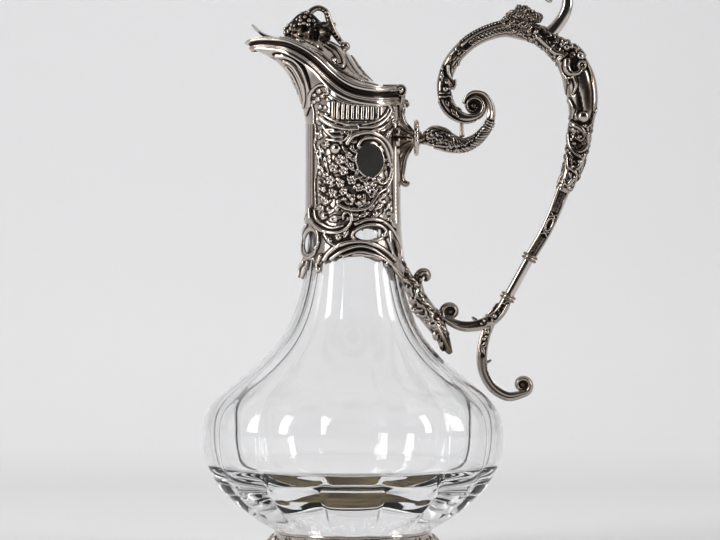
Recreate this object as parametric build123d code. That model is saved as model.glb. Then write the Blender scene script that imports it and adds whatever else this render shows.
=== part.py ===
"""Silver-mounted claret jug: a fourteen-lobed glass flask, a silver collar with a swept spout,
a hinged domed lid with a grape finial, a cast scroll handle and a spreading foot.

Millimetres. +Z is up, the spout points to -X, the handle to +X, and the origin is the centre of
the foot's underside, on the axis of the flask.
"""

from build123d import *
import math
import os

# ---------------------------------------------------------------- glass flask
LOBES = 14                   # ribs blown into the flask, one facing each side
SEAT_LEVEL = 17.0            # plane on which the glass stands in the foot
GLASS_BASE_RADIUS = 41.0
BELLY_LEVEL = 69.5
BELLY_RADIUS = 81.8
NECK_RADIUS = 20.8           # radius that the shoulder curve tends to
SHOULDER_SPREAD = 38.5       # height above the belly where the shoulder is half way in
SHOULDER_POWER = 2.8
BASE_CURVE_POWER = 2.35
GLASS_TOP = 234.0
BELLY_WALL = 2.8
NECK_WALL = 2.4
GLASS_FLOOR = 25.0           # thickness of glass under the wine
FLOOR_FLAT = 30.0            # radius of the flat middle of the floor
FLOOR_ROUND = 12.0           # rise of the floor's rounded edge
LOBE_DEPTH = 3.0             # groove between two ribs at the belly
NECK_LOBE_DEPTH = 0.4
INNER_LOBE_SHARE = 0.85      # grooves inside, as a share of those outside
PUNT_RADIUS = 25.0
PUNT_RISE = 4.0

# ---------------------------------------------------------------- collar and spout
COLLAR_STANDOFF = 1.0        # plaster between glass and collar
COLLAR_WALL = 0.9
COLLAR_RADIUS = 25.2         # outside, along the plain cylinder
COLLAR_FOOT = 182.0          # where the solid collar gives way to the pierced apron
APRON_FOOT = 153.5
APRON_WALL = 1.4
APRON_RELIEF = 1.0           # how far the scroll borders stand proud
SPOUT_FOOT = 236.0
SPOUT_REACH = 57.4           # axis to the lip
SPOUT_WALL = 1.0
SPOUT_NOSE = 6.0             # radius of the lip in plan
LIP_LEVEL = 280.3
SADDLE_LEVEL = 252.1         # lowest point of the mouth, near the hinge
MOULDING_DEPTH = 4.1         # reeded wire below the mouth
MOULDING_REED = 1.2
MOULDING_PROUD = 0.45

# ---------------------------------------------------------------- lid and hinge
LID_GAP = 0.3                # between the lid's rim and the mouth
LID_RIM = 3.4
LID_RIM_PROUD = 1.3
LID_WALL = 1.0
LID_CREST = 284.4
DOME_INSET = 0.6             # dome stands in from the outside of the spout
LID_FRONT = -39.0            # where the rim ends and the tongue begins
HINGE_X = 25.6
HINGE_Z = 254.3
KNUCKLE_RADIUS = 3.3
PIN_RADIUS = 1.6
PIN_PLAY = 0.06
PIN_END = 0.4                # pin stands out of the barrel at each end
HINGE_WIDTH = 18.0
KNUCKLES = 5
KNUCKLE_PLAY = 0.15
HINGE_LEAF = 1.3
STUD_RADIUS = 1.25
STUD_LENGTH = 12.0
STUD_LEVEL = 281.4           # middle of the stud
PIN_FIT = 0.05               # round a stud or tenon in its hole
STUD_X = -20.0
NUT_RADIUS = 3.0
BERRY_RADIUS = 2.3

# ---------------------------------------------------------------- handle
FLANGE_X = 35.6              # plane where handle and upper socket meet
FLANGE_Z = 229.0
FLANGE_RADIUS = 9.2
FLANGE_THICKNESS = 1.6
SOCKET_PIN_RADIUS = 1.4
SOCKET_PIN_LENGTH = 12.0
KNOP_RADIUS = 4.3
KNOP_WIDTH = 3.2
SCROLL_WIDTH = 4.4           # half width of the flat scrolls, across the jug
BOW_END = (107.5, 279.5)     # where the bow is soldered to the shoulder
SHAFT_TOP = (113.0, 199.5)
UPPER_KNOP = (95.4, 164.4)
LOWER_KNOP = (83.6, 143.0)
MASK_CENTRE = (91.3, 293.2)
MASK_RADIUS = 6.9
MOUNT_THICKNESS = 2.6        # cast leaf that carries the foot of the handle
MOUNT_TOP = 158.0
MOUNT_TIP = 112.0
MOUNT_GAP = 0.15             # solder room between the cast leaf and the ribs

# ---------------------------------------------------------------- foot
FOOT_RADIUS = 52.5
FOOT_RIM_HEIGHT = 2.4
FOOT_WALL = 1.2
FOOT_LOBE_DEPTH = 1.3
FOOT_LOBES = 10
FOOT_NECK_RADIUS = 42.0
FOOT_PLATE = 1.2             # plate that the glass stands on
FOOT_RECESS = 3.0            # plaster stops short of the floor
BEZEL_RADIUS = 1.0


# ================================================================ shared shapes
def glass_radius(z):
    """Outside radius of a rib crest at height z."""
    if z <= BELLY_LEVEL:
        rise = (z - SEAT_LEVEL) / (BELLY_LEVEL - SEAT_LEVEL)
        return GLASS_BASE_RADIUS + (BELLY_RADIUS - GLASS_BASE_RADIUS) * (1 - (1 - rise) ** BASE_CURVE_POWER)
    rise = (z - BELLY_LEVEL) / SHOULDER_SPREAD
    return NECK_RADIUS + (BELLY_RADIUS - NECK_RADIUS) / (1 + rise ** SHOULDER_POWER)


def collar_radius(z):
    """Outside radius of collar and apron: it follows the glass, then runs straight."""
    over_glass = glass_radius(z) + COLLAR_STANDOFF + COLLAR_WALL
    blend = 0.6
    return (COLLAR_RADIUS + over_glass + math.hypot(COLLAR_RADIUS - over_glass, blend)) / 2


def turned_block(radius_at, levels, grow=0.0):
    """Solid of revolution from the axis out to radius_at(z) + grow."""
    side = [(radius_at(z) + grow, 0, z) for z in levels]
    low, high = levels[0], levels[-1]
    outline = Wire([
        Line((0, 0, low), side[0]),
        Spline(*side),
        Line(side[-1], (0, 0, high)),
        Line((0, 0, high), (0, 0, low)),
    ])
    return revolve(Face(outline), axis=Axis.Z)


def turned_ring(radius_at, levels, inner, outer):
    """Ring of revolution between radius_at(z) + inner and radius_at(z) + outer."""
    return turned_block(radius_at, levels, outer) - turned_block(radius_at, levels, inner)


def lobed_face(z, crest, depth, lobes=LOBES):
    """Horizontal face of round ribs; one rib faces -Y."""
    half = math.pi / lobes
    cusp = crest - depth
    arcs = []
    for i in range(lobes):
        mid = -math.pi / 2 + 2 * i * half
        start, end = mid - half, mid + half
        arcs.append(ThreePointArc(
            (cusp * math.cos(start), cusp * math.sin(start), z),
            (crest * math.cos(mid), crest * math.sin(mid), z),
            (cusp * math.cos(end), cusp * math.sin(end), z),
        ))
    return Face(Wire(arcs))


def evenly(start, end, count):
    return [start + (end - start) * i / (count - 1) for i in range(count)]


def spiral(centre, start_radius, end_radius, start_angle, sweep_angle, thick, thin, wide, narrow):
    """Stations (x, z, half thickness, half width) of a volute, every 30 degrees or so."""
    steps = max(3, round(abs(sweep_angle) / 30))
    stations = []
    for i in range(steps + 1):
        share = i / steps
        angle = math.radians(start_angle + sweep_angle * share)
        radius = start_radius + (end_radius - start_radius) * share
        stations.append((
            centre[0] + radius * math.cos(angle),
            centre[1] + radius * math.sin(angle),
            thick + (thin - thick) * share,
            wide + (narrow - wide) * share,
        ))
    return stations


def limb(stations, spacing=3.0):
    """Cast limb in the plane Y = 0 through stations (x, z, half thickness, half width across Y)."""
    path = Spline(*[(x, 0, z) for x, z, _, _ in stations])
    chords = [0.0]
    for a, b in zip(stations, stations[1:]):
        chords.append(chords[-1] + math.dist(a[:2], b[:2]))
    marks = [c / chords[-1] for c in chords]
    count = max(len(stations), round(path.length / spacing)) + 1
    sections = []
    for share in evenly(0.0, 1.0, count):
        i = min(next((k for k, m in enumerate(marks) if m >= share - 1e-9), len(marks) - 1), len(marks) - 1)
        i = max(i, 1)
        local = (share - marks[i - 1]) / (marks[i] - marks[i - 1])
        ease = local * local * (3 - 2 * local)
        thick = stations[i - 1][2] + (stations[i][2] - stations[i - 1][2]) * ease
        wide = stations[i - 1][3] + (stations[i][3] - stations[i - 1][3]) * ease
        plane = Plane(origin=path @ share, x_dir=(0, 1, 0), z_dir=path % share)
        sections.append(plane * Ellipse(wide, thick))
    return loft(sections)


def both_sides(sketch_face, reach=60.0):
    """A face drawn in XZ, extruded to both sides of the jug."""
    return extrude(sketch_face, amount=reach, both=True)


def side_plane(x=0.0, z=0.0):
    """Drawing plane seen from -Y: its x is +X and its y is +Z."""
    return Plane(origin=(x, 0, z), x_dir=(1, 0, 0), z_dir=(0, -1, 0))


# ================================================================ mouth line
def mouth_points():
    """The seam between mouth and lid, seen from the side, from the lip to the hinge."""
    drop = LIP_LEVEL - SADDLE_LEVEL
    lip = -SPOUT_REACH
    run = HINGE_X - lip
    shape = [
        (-0.02, 0.100), (0.03, 0.020), (0.09, -0.008), (0.19, 0.010), (0.265, 0.045), (0.35, 0.155),
        (0.425, 0.295), (0.48, 0.430), (0.56, 0.665), (0.635, 0.845), (0.71, 0.950), (0.81, 1.000),
        (0.90, 0.995), (0.97, 0.968), (1.06, 0.920),
    ]
    return [(lip + run * s, LIP_LEVEL - drop * d) for s, d in shape]


def mouth_line(offset=0.0):
    """The seam moved by offset along its own normal, upwards positive."""
    points = mouth_points()
    moved = []
    for i, (x, z) in enumerate(points):
        before, after = points[max(i - 1, 0)], points[min(i + 1, len(points) - 1)]
        dx, dz = after[0] - before[0], after[1] - before[1]
        length = math.hypot(dx, dz)
        moved.append((x - dz / length * offset, z + dx / length * offset))
    return moved


def between_mouth_lines(low, high, width=80.0):
    """Block between two offsets of the mouth line, as wide as the jug."""
    bottom, top = mouth_line(low), mouth_line(high)
    outline = Wire([
        Spline(*[(x, 0, z) for x, z in bottom]),
        Line((bottom[-1][0], 0, bottom[-1][1]), (top[-1][0], 0, top[-1][1])),
        Spline(*[(x, 0, z) for x, z in reversed(top)]),
        Line((top[0][0], 0, top[0][1]), (bottom[0][0], 0, bottom[0][1])),
    ])
    return extrude(Face(outline), amount=width / 2, both=True)


def beyond_mouth_line(offset, up, width=80.0, far=90.0):
    """Block above (or below) one offset of the mouth line."""
    line = mouth_line(offset)
    side = far if up else -far
    outline = Wire([
        Spline(*[(x, 0, z) for x, z in line]),
        Line((line[-1][0], 0, line[-1][1]), (line[-1][0], 0, line[-1][1] + side)),
        Line((line[-1][0], 0, line[-1][1] + side), (line[0][0], 0, line[-1][1] + side)),
        Line((line[0][0], 0, line[-1][1] + side), (line[0][0], 0, line[0][1])),
    ])
    return extrude(Face(outline), amount=width / 2, both=True)


def hull_radius(phi, rear, reach, nose):
    """Polar radius of the hull of a circle of radius rear on the axis and a nose circle in front."""
    gap = reach - nose
    touch = math.acos((rear - nose) / gap)
    if phi >= touch:
        return rear
    nose_touch = math.atan2(nose * math.sin(touch), gap + nose * math.cos(touch))
    if phi >= nose_touch:
        return rear / math.cos(touch - phi)
    return gap * math.cos(phi) + math.sqrt(nose ** 2 - (gap * math.sin(phi)) ** 2)


def mouth_face(z, reach, nose, grow):
    """Horizontal section of the spout: round at the back, drawn out to a nose in front."""
    angles = (0, 10, 22, 38, 56, 76, 100, 128, 156, 180)
    side = []
    for angle in angles:
        phi = math.radians(angle)
        radius = hull_radius(phi, COLLAR_RADIUS + grow, reach + grow, nose + grow)
        side.append((-radius * math.cos(phi), radius * math.sin(phi), z))
    other = [(x, -y, h) for x, y, h in side[-2:0:-1]]
    return Face(Wire([Spline(*side, *other, periodic=True)]))


def spout_body(grow):
    """Spout as a block, its surface moved outwards by grow; it runs on up past the mouth."""
    reach, nose = SPOUT_REACH - COLLAR_RADIUS, SPOUT_NOSE
    rise = LIP_LEVEL - SPOUT_FOOT
    shape = [
        (-0.10, 0.012, 1.30), (0.05, 0.025, 1.25), (0.16, 0.055, 1.15), (0.35, 0.145, 0.92), (0.50, 0.240, 0.75),
        (0.615, 0.325, 0.60), (0.72, 0.440, 0.42), (0.80, 0.570, 0.26), (0.87, 0.765, 0.14), (0.935, 0.930, 0.05),
        (1.0, 1.0, 0.0), (1.2, 1.03, 0.0),
    ]
    sections = [
        mouth_face(SPOUT_FOOT + rise * up, COLLAR_RADIUS + reach * out, nose * (1 + blunt), grow)
        for up, out, blunt in shape
    ]
    return loft(sections)


# ================================================================ glass
def lobed_body(levels, radius_at, share):
    """Loft of ribbed sections; the grooves are the given share of the outside's."""
    sections = []
    for z in levels:
        swell = max(0.0, (glass_radius(z) - NECK_RADIUS) / (BELLY_RADIUS - NECK_RADIUS))
        depth = NECK_LOBE_DEPTH + (LOBE_DEPTH - NECK_LOBE_DEPTH) * swell
        sections.append(lobed_face(z, radius_at(z), share * depth))
    return loft(sections)


def glass_flask():
    levels = [SEAT_LEVEL, SEAT_LEVEL + 3, SEAT_LEVEL + 8] + evenly(SEAT_LEVEL + 15, GLASS_TOP, 21)
    return lobed_body(levels, glass_radius, 1.0)


def inner_radius(z):
    """Radius of the wine room: the outside less the wall, drawn in to a flat floor."""
    swell = (glass_radius(z) - NECK_RADIUS) / (BELLY_RADIUS - NECK_RADIUS)
    side = glass_radius(z) - NECK_WALL - (BELLY_WALL - NECK_WALL) * swell
    drop = min(1.0, max(0.0, (SEAT_LEVEL + GLASS_FLOOR + FLOOR_ROUND - z) / FLOOR_ROUND))
    return FLOOR_FLAT + (side - FLOOR_FLAT) * math.sqrt(1 - drop * drop)


def glass_cavity():
    """Room for the wine: a thick solid base, then a wall that follows the ribs."""
    floor = SEAT_LEVEL + GLASS_FLOOR
    rounding = [floor + FLOOR_ROUND * (1 - math.cos(math.radians(a))) for a in (0, 18, 36, 54, 72, 90)]
    bowl = lobed_body(rounding, inner_radius, INNER_LOBE_SHARE)
    rest = lobed_body(evenly(rounding[-1], GLASS_TOP + 1, 19), inner_radius, INNER_LOBE_SHARE)
    return bowl + rest


def punt():
    """Shallow dome under the glass."""
    arc = ThreePointArc((0, 0, SEAT_LEVEL + PUNT_RISE), (0.72 * PUNT_RADIUS, 0, SEAT_LEVEL + 0.5 * PUNT_RISE),
                        (PUNT_RADIUS, 0, SEAT_LEVEL))
    outline = Wire([arc, Line((PUNT_RADIUS, 0, SEAT_LEVEL), (0, 0, SEAT_LEVEL)),
                    Line((0, 0, SEAT_LEVEL), (0, 0, SEAT_LEVEL + PUNT_RISE))])
    return revolve(Face(outline), axis=Axis.Z)


# ================================================================ collar
def collar_levels():
    return evenly(COLLAR_FOOT, SPOUT_FOOT, 7)


def neck_plaster(flask_block):
    """Plaster bed between the collar and the neck of the flask."""
    bed = turned_block(collar_radius, collar_levels(), -COLLAR_WALL) - flask_block
    above_glass = Pos(0, 0, GLASS_TOP + 20) * Box(80, 80, 40)
    return bed - above_glass


def cartouche_face(x, z, half_width, half_height, border):
    outer = Ellipse(half_width, half_height)
    return side_plane(x, z) * (outer - Ellipse(half_width - border, half_height - border))


def neck_sleeve():
    """Solid part of the collar, with the cartouche borders and corner reeds chased in it."""
    sleeve = turned_ring(collar_radius, collar_levels(), -COLLAR_WALL, 0.0)
    proud = turned_ring(collar_radius, collar_levels(), -COLLAR_WALL / 2, APRON_RELIEF)
    borders = both_sides(cartouche_face(9.0, 213.0, 9.5, 12.5, 1.6))
    borders += both_sides(cartouche_face(-9.0, 192.0, 8.0, 5.5, 1.4))
    sleeve += borders & proud
    for angle in (-37.5, 37.5):
        turn = math.radians(180 + angle)
        reed = Pos(COLLAR_RADIUS * math.cos(turn), COLLAR_RADIUS * math.sin(turn), 212.0) * Cylinder(0.7, 40)
        sleeve += reed
    return sleeve - turned_block(collar_radius, collar_levels(), -COLLAR_WALL)


def apron():
    """Pierced scroll skirt over the shoulder of the glass, alike on both sides."""
    levels = evenly(APRON_FOOT, COLLAR_FOOT, 7)
    skin = turned_ring(collar_radius, levels, -COLLAR_WALL, APRON_WALL - COLLAR_WALL)
    thick = turned_ring(collar_radius, levels, -COLLAR_WALL, APRON_RELIEF + APRON_WALL - COLLAR_WALL)
    arches = [(3.0, 149.0, 20.5, 20.0), (-24.5, 147.0, 4.6, 14.5)]
    windows = [(9.6, 174.6, 9.2, 4.4, 6), (-22.5, 172.2, 3.4, 6.2, -8), (26.5, 170.5, 1.8, 6.5, 8)]
    border = 1.6
    openings = None
    rims = None
    for x, z, half_width, half_height, tilt in [(*arch, 0) for arch in arches] + windows:
        plane = side_plane(x, z) * Rot(0, 0, tilt)
        hole = both_sides(plane * Ellipse(half_width, half_height))
        rim = both_sides(plane * Ellipse(half_width + border, half_height + border))
        openings = hole if openings is None else openings + hole
        rims = rim if rims is None else rims + rim
    return (skin + (rims & thick)) - openings


def spout_shell(outside, inside):
    """Raised spout, open above along the mouth line and below into the collar."""
    block = beyond_mouth_line(0.0, up=False)
    shell = (outside - inside) & block
    cut = Pos(0, 0, SPOUT_FOOT - 50) * Box(200, 200, 100)
    return shell - cut


def spout_medallion(outside, grown):
    """Raised oval frame on the front of the spout."""
    plane = Plane(origin=(-31.5, 0, 257.5), x_dir=(0, 1, 0), z_dir=(-0.9, 0, -0.43))
    frame = extrude(plane * (Ellipse(8.6, 15.0) - Ellipse(7.0, 13.4)), amount=12, both=True)
    return (grown - outside) & frame


def mouth_moulding(outside, bands):
    """Reeded wire round the mouth: two reeds with a hollow between."""
    thin, wide = bands
    wire = (thin & between_mouth_lines(-MOULDING_DEPTH, 0.0)) + (wide & between_mouth_lines(-MOULDING_REED, 0.0))
    wire += wide & between_mouth_lines(-MOULDING_DEPTH, -MOULDING_DEPTH + MOULDING_REED)
    return wire - outside


# ================================================================ hinge
def knuckle_span(index):
    pitch = HINGE_WIDTH / KNUCKLES
    start = -HINGE_WIDTH / 2 + index * pitch
    trim = KNUCKLE_PLAY / 2
    return start + trim, start + pitch - trim


def hinge_barrel(start, end, radius):
    return Pos(HINGE_X, (start + end) / 2, HINGE_Z) * Rot(90, 0, 0) * Cylinder(radius, end - start)


def hinge_bracket(outside):
    """Body half of the hinge: outer and middle knuckles on a leaf soldered to the collar."""
    leaf = Pos(HINGE_X + 1.0, 0, HINGE_Z - 3.9) * Box(3.2, HINGE_WIDTH, 4.6)
    leaf -= outside
    knuckles = None
    for index in range(0, KNUCKLES, 2):
        barrel = hinge_barrel(*knuckle_span(index), KNUCKLE_RADIUS)
        knuckles = barrel if knuckles is None else knuckles + barrel
    for index in range(1, KNUCKLES, 2):
        start, end = knuckle_span(index)
        leaf -= hinge_barrel(start - KNUCKLE_PLAY, end + KNUCKLE_PLAY, KNUCKLE_RADIUS + LID_GAP)
    return (leaf + knuckles) - hinge_barrel(-HINGE_WIDTH, HINGE_WIDTH, PIN_RADIUS)


def lid_hinge_leaf(lid_parts):
    """Lid half of the hinge: two knuckles on a leaf soldered to the top of the lid."""
    leaf = Pos(HINGE_X - 5.0, 0, HINGE_Z + 1.9) * Box(9.0, HINGE_WIDTH * 0.6 - KNUCKLE_PLAY, 2 * HINGE_LEAF)
    for index in range(0, KNUCKLES, 2):
        start, end = knuckle_span(index)
        leaf -= hinge_barrel(start - KNUCKLE_PLAY, end + KNUCKLE_PLAY, KNUCKLE_RADIUS + LID_GAP)
    for part in lid_parts:
        leaf -= part
    knuckles = None
    for index in range(1, KNUCKLES, 2):
        barrel = hinge_barrel(*knuckle_span(index), KNUCKLE_RADIUS)
        knuckles = barrel if knuckles is None else knuckles + barrel
    return (leaf + knuckles) - hinge_barrel(-HINGE_WIDTH, HINGE_WIDTH, PIN_RADIUS + PIN_PLAY)


def hinge_pin():
    end = HINGE_WIDTH / 2 + PIN_END
    return hinge_barrel(-end, end, PIN_RADIUS)


def hinge_room(gap):
    """Space that the barrel and the ends of the pin need."""
    end = HINGE_WIDTH / 2 + PIN_END + gap
    return hinge_barrel(-end, end, KNUCKLE_RADIUS + gap)


# ================================================================ lid
def lid_crest_points():
    """Ridge of the dome seen from the side: (x, z)."""
    top = LID_CREST
    return [(-41.0, top - 1.6), (-34.0, top - 0.2), (-26.0, top + 0.2), (-18.0, top - 0.4), (-10.0, top - 3.6),
            (-4.5, top - 7.6), (0.0, top - 12.0), (5.0, top - 18.8), (9.5, top - 23.8), (15.0, top - 27.2),
            (22.0, top - 28.2)]


def half_width(x, shrink):
    """Half width of the mouth's plan at x, taken in by shrink."""
    rear, nose = COLLAR_RADIUS - shrink, SPOUT_NOSE - shrink * 0.5
    reach = SPOUT_REACH - shrink
    gap = reach - nose
    touch = math.acos((rear - nose) / gap)
    if x > -rear * math.cos(touch):
        return math.sqrt(max(rear ** 2 - x ** 2, 1.0))
    return (rear + x * math.cos(touch)) / math.sin(touch)


def lid_dome(shrink, drop):
    """Dome as a block: arched sections along the ridge."""
    sections = []
    for x, crest in lid_crest_points():
        base = SADDLE_LEVEL - 6.0 if x > -12 else SADDLE_LEVEL + 8.0
        half = half_width(x, shrink)
        seam = seam_level(x) + LID_RIM
        top = crest - drop
        rise = max(top - seam, 0.8)
        arch = [(x, -half, seam), (x, -0.78 * half, seam + 0.42 * rise), (x, -0.40 * half, seam + 0.86 * rise),
                (x, 0, seam + rise), (x, 0.40 * half, seam + 0.86 * rise), (x, 0.78 * half, seam + 0.42 * rise),
                (x, half, seam)]
        sections.append(Face(Wire([Spline(*arch), Line((x, half, seam), (x, half, base)),
                                   Line((x, half, base), (x, -half, base)), Line((x, -half, base), (x, -half, seam))])))
    return loft(sections)


def seam_level(x):
    """Height of the mouth line at x, straight between its points."""
    points = mouth_points()
    for (x0, z0), (x1, z1) in zip(points, points[1:]):
        if x0 <= x <= x1:
            return z0 + (z1 - z0) * (x - x0) / (x1 - x0)
    return points[-1][1]


def lid_shell(block):
    """Dome of even wall, trimmed to the top of the rim."""
    above = beyond_mouth_line(LID_RIM, up=True)
    return (block - lid_dome(DOME_INSET + LID_WALL, LID_WALL)) & above


def lid_rim(grown, inside):
    """Convex moulding round the lid, bridged under the tongue where it stops."""
    band = (grown - inside) & between_mouth_lines(LID_GAP, LID_RIM)
    front = Pos(LID_FRONT - 50, 0, LIP_LEVEL) * Box(100, 120, 60)
    bridge = Pos(LID_FRONT + 1.0, 0, seam_level(LID_FRONT) + 1.6) * Box(2.0, 2 * half_width(LID_FRONT, 1.0), 1.2)
    return (band - front) + bridge


def lid_tongue():
    """Thin sheet that covers the lip and curls up at its end."""
    sheet = limb([
        (LID_FRONT + 0.2, 281.9, 0.6, 8.6), (-43.5, 282.9, 0.6, 7.6), (-48.5, 284.8, 0.6, 6.2),
        (-52.5, 288.0, 0.55, 4.6), (-54.8, 290.4, 0.45, 2.6),
    ], spacing=2.0)
    return sheet


# ================================================================ finial
def bunch_stations():
    """Core of the bunch: (x, z, half thickness, half width)."""
    return [(-38.4, 286.8, 1.4, 1.8), (-33.5, 289.0, 3.2, 4.6), (-28.0, 291.4, 4.6, 6.4), (-22.5, 291.8, 4.9, 6.6),
            (-17.2, 288.4, 4.2, 5.6), (-12.8, 283.0, 2.4, 3.4)]


def grape_bunch(dome):
    """Bunch of grapes cast with its threaded stem: a core seated on the dome, studded with berries."""
    stations = bunch_stations()
    path = Spline(*[(x, 0, z) for x, z, _, _ in stations])
    across = Vector(0, 1, 0)
    rows = 3
    berries = []
    for row in range(rows):
        share = 0.16 + 0.54 * row / (rows - 1)
        centre, along = path @ share, path % share
        up = along.cross(across) * -1
        swell = math.sin(math.pi * min(1.0, share + 0.14) * 0.78)
        count = 3
        for i in range(count):
            angle = math.radians(-70 + 70 * i)
            spot = centre + across * (6.0 * swell * math.sin(angle)) + up * (4.2 * swell * math.cos(angle))
            berries.append(Pos(spot.X, spot.Y, spot.Z) * Sphere(BERRY_RADIUS + 0.03 * row + 0.01 * i))
    return (limb(stations, spacing=5.0) - dome) + (berries + [finial_stud()])


def vine_leaf(side):
    """Five-lobed leaf laid against one side of the bunch."""
    points = []
    for i in range(10):
        angle = math.radians(36 * i)
        radius = 4.6 if i % 2 == 0 else 3.0
        points.append((radius * math.cos(angle), radius * math.sin(angle)))
    outline = Face(Wire([Spline(*points, periodic=True)]))
    plane = Plane(origin=(-17.0, side * 6.0, 285.4), x_dir=(0.8, 0, -0.6), z_dir=(0.35, side * 0.8, 0.5))
    return extrude(plane * outline, amount=0.5, both=True)


def vine_loop():
    """Bent stem above the bunch that serves as a thumb piece, then runs down the lid."""
    return limb([
        (-25.5, 294.6, 1.3, 1.5), (-22.6, 298.6, 1.25, 1.6), (-18.4, 299.6, 1.2, 1.6), (-14.6, 297.2, 1.2, 1.6),
        (-13.0, 292.6, 1.2, 1.5), (-11.6, 287.4, 1.2, 1.5), (-9.0, 282.6, 1.3, 1.6), (-6.5, 279.0, 1.4, 1.8),
    ], spacing=3.0)


def finial_stud(play=0.0):
    """Stem that holds the finial to the lid, widened by play for its holes."""
    return Pos(STUD_X, 0, STUD_LEVEL) * Cylinder(STUD_RADIUS + play, STUD_LENGTH + 2 * play)


def finial_nut():
    """Round nut under the dome, its top dished to the dome."""
    return Pos(STUD_X, 0, LID_CREST - LID_WALL - 1.6) * Cylinder(NUT_RADIUS, 3.0)


# ================================================================ handle
def upper_scroll_stations():
    """Beast's head and neck, then a ribbon that wraps the eye of the bow."""
    return [
        (FLANGE_X + 0.2, 229.2, 3.4, 3.6), (38.8, 229.4, 4.9, 4.4), (42.8, 229.8, 6.8, 5.2), (47.5, 229.0, 7.1, 5.4),
        (51.6, 227.2, 6.4, 5.2), (56.2, 226.0, 5.4, 4.8), (60.8, 225.8, 4.1, 4.2), (65.5, 227.3, 3.3, 3.6),
        (70.4, 231.7, 2.7, 3.4), (74.0, 237.6, 2.3, 3.6), (74.5, 245.2, 2.2, 3.8), (70.9, 251.9, 1.8, 4.0),
        (65.0, 253.2, 1.4, 4.0), (60.8, 250.3, 0.9, 3.8), (59.7, 247.1, 0.6, 3.4),
    ]


def upper_scroll():
    """Scaled neck with a beast's head whose jaws bite the flange, and a strut to the bow."""
    neck = limb(upper_scroll_stations())
    upper_jaw = limb([(44.0, 234.4, 1.4, 3.4), (39.5, 234.8, 1.3, 3.4), (36.0, 235.6, 1.1, 3.0)], spacing=4.0)
    lower_jaw = limb([(46.0, 223.6, 1.4, 3.2), (40.5, 223.0, 1.3, 3.2), (36.2, 221.6, 1.1, 2.8)], spacing=4.0)
    strut = limb([(58.9, 229.0, 1.1, 1.6), (58.7, 234.0, 0.9, 1.2), (58.6, 240.0, 1.3, 2.0)], spacing=4.0)
    return neck + upper_jaw + lower_jaw + strut


def bow_stations():
    """The great bow from the shoulder round to its volute."""
    stations = [
        (*BOW_END, 5.6, 5.0), (100.5, 284.5, 5.2, 4.6), (91.0, 286.8, 4.9, 4.6), (82.0, 288.0, 4.6, 4.6),
        (73.5, 286.0, 4.3, 4.4), (63.0, 280.5, 4.1, 4.2), (53.5, 270.5, 4.1, 4.2), (49.2, 258.0, 4.0, 4.2),
        (50.8, 248.0, 3.9, 4.2), (55.2, 242.0, 3.6, 4.2), (60.5, 239.6, 2.9, SCROLL_WIDTH),
    ]
    eye = (65.0, 246.1)
    return stations + spiral(eye, 6.0, 1.4, -75, 470, 2.0, 0.7, SCROLL_WIDTH, SCROLL_WIDTH - 0.6)


def bow():
    """The bow, with a small spur on its inner side and a thin web behind the eye."""
    spur = limb([(53.0, 255.0, 1.6, 2.0), (55.0, 258.5, 1.0, 1.4), (55.2, 261.0, 0.5, 0.8)], spacing=3.0)
    web = Pos(65.0, 0, 246.1) * Rot(90, 0, 0) * Cylinder(4.2, 2.4)
    return limb(bow_stations()) + spur + web


def shoulder_stations():
    return [
        (*BOW_END, 5.6, 5.0), (115.5, 273.0, 7.4, 6.6), (121.6, 262.0, 8.6, 7.6), (124.0, 250.0, 8.2, 7.4),
        (123.0, 235.0, 6.6, 6.4), (120.2, 219.0, 6.0, 5.6), (116.8, 208.0, 4.8, 4.8), (*SHAFT_TOP, 3.6, 3.6),
    ]


def shoulder():
    """Swelling shoulder with a ring curl in front and a leaf tip above the shaft."""
    curl = limb(spiral((122.6, 268.4), 3.2, 1.2, -160, 330, 1.2, 0.8, 2.4, 2.0), spacing=2.0)
    leaf = limb([(117.0, 214.0, 1.6, 3.4), (112.6, 208.0, 1.4, 2.8), (110.2, 204.0, 0.6, 1.4)], spacing=3.0)
    return limb(shoulder_stations()) + curl + leaf


def shaft_stations():
    return [(*SHAFT_TOP, 3.6, 3.6), (108.2, 187.6, 3.2, 3.2), (102.8, 176.4, 3.0, 3.0), (*UPPER_KNOP, 2.8, 2.8)]


def stem_stations():
    middle = ((UPPER_KNOP[0] + LOWER_KNOP[0]) / 2, (UPPER_KNOP[1] + LOWER_KNOP[1]) / 2)
    return [(*UPPER_KNOP, 2.7, 2.7), (*middle, 2.7, 2.7), (*LOWER_KNOP, 2.7, 2.7)]


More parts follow.
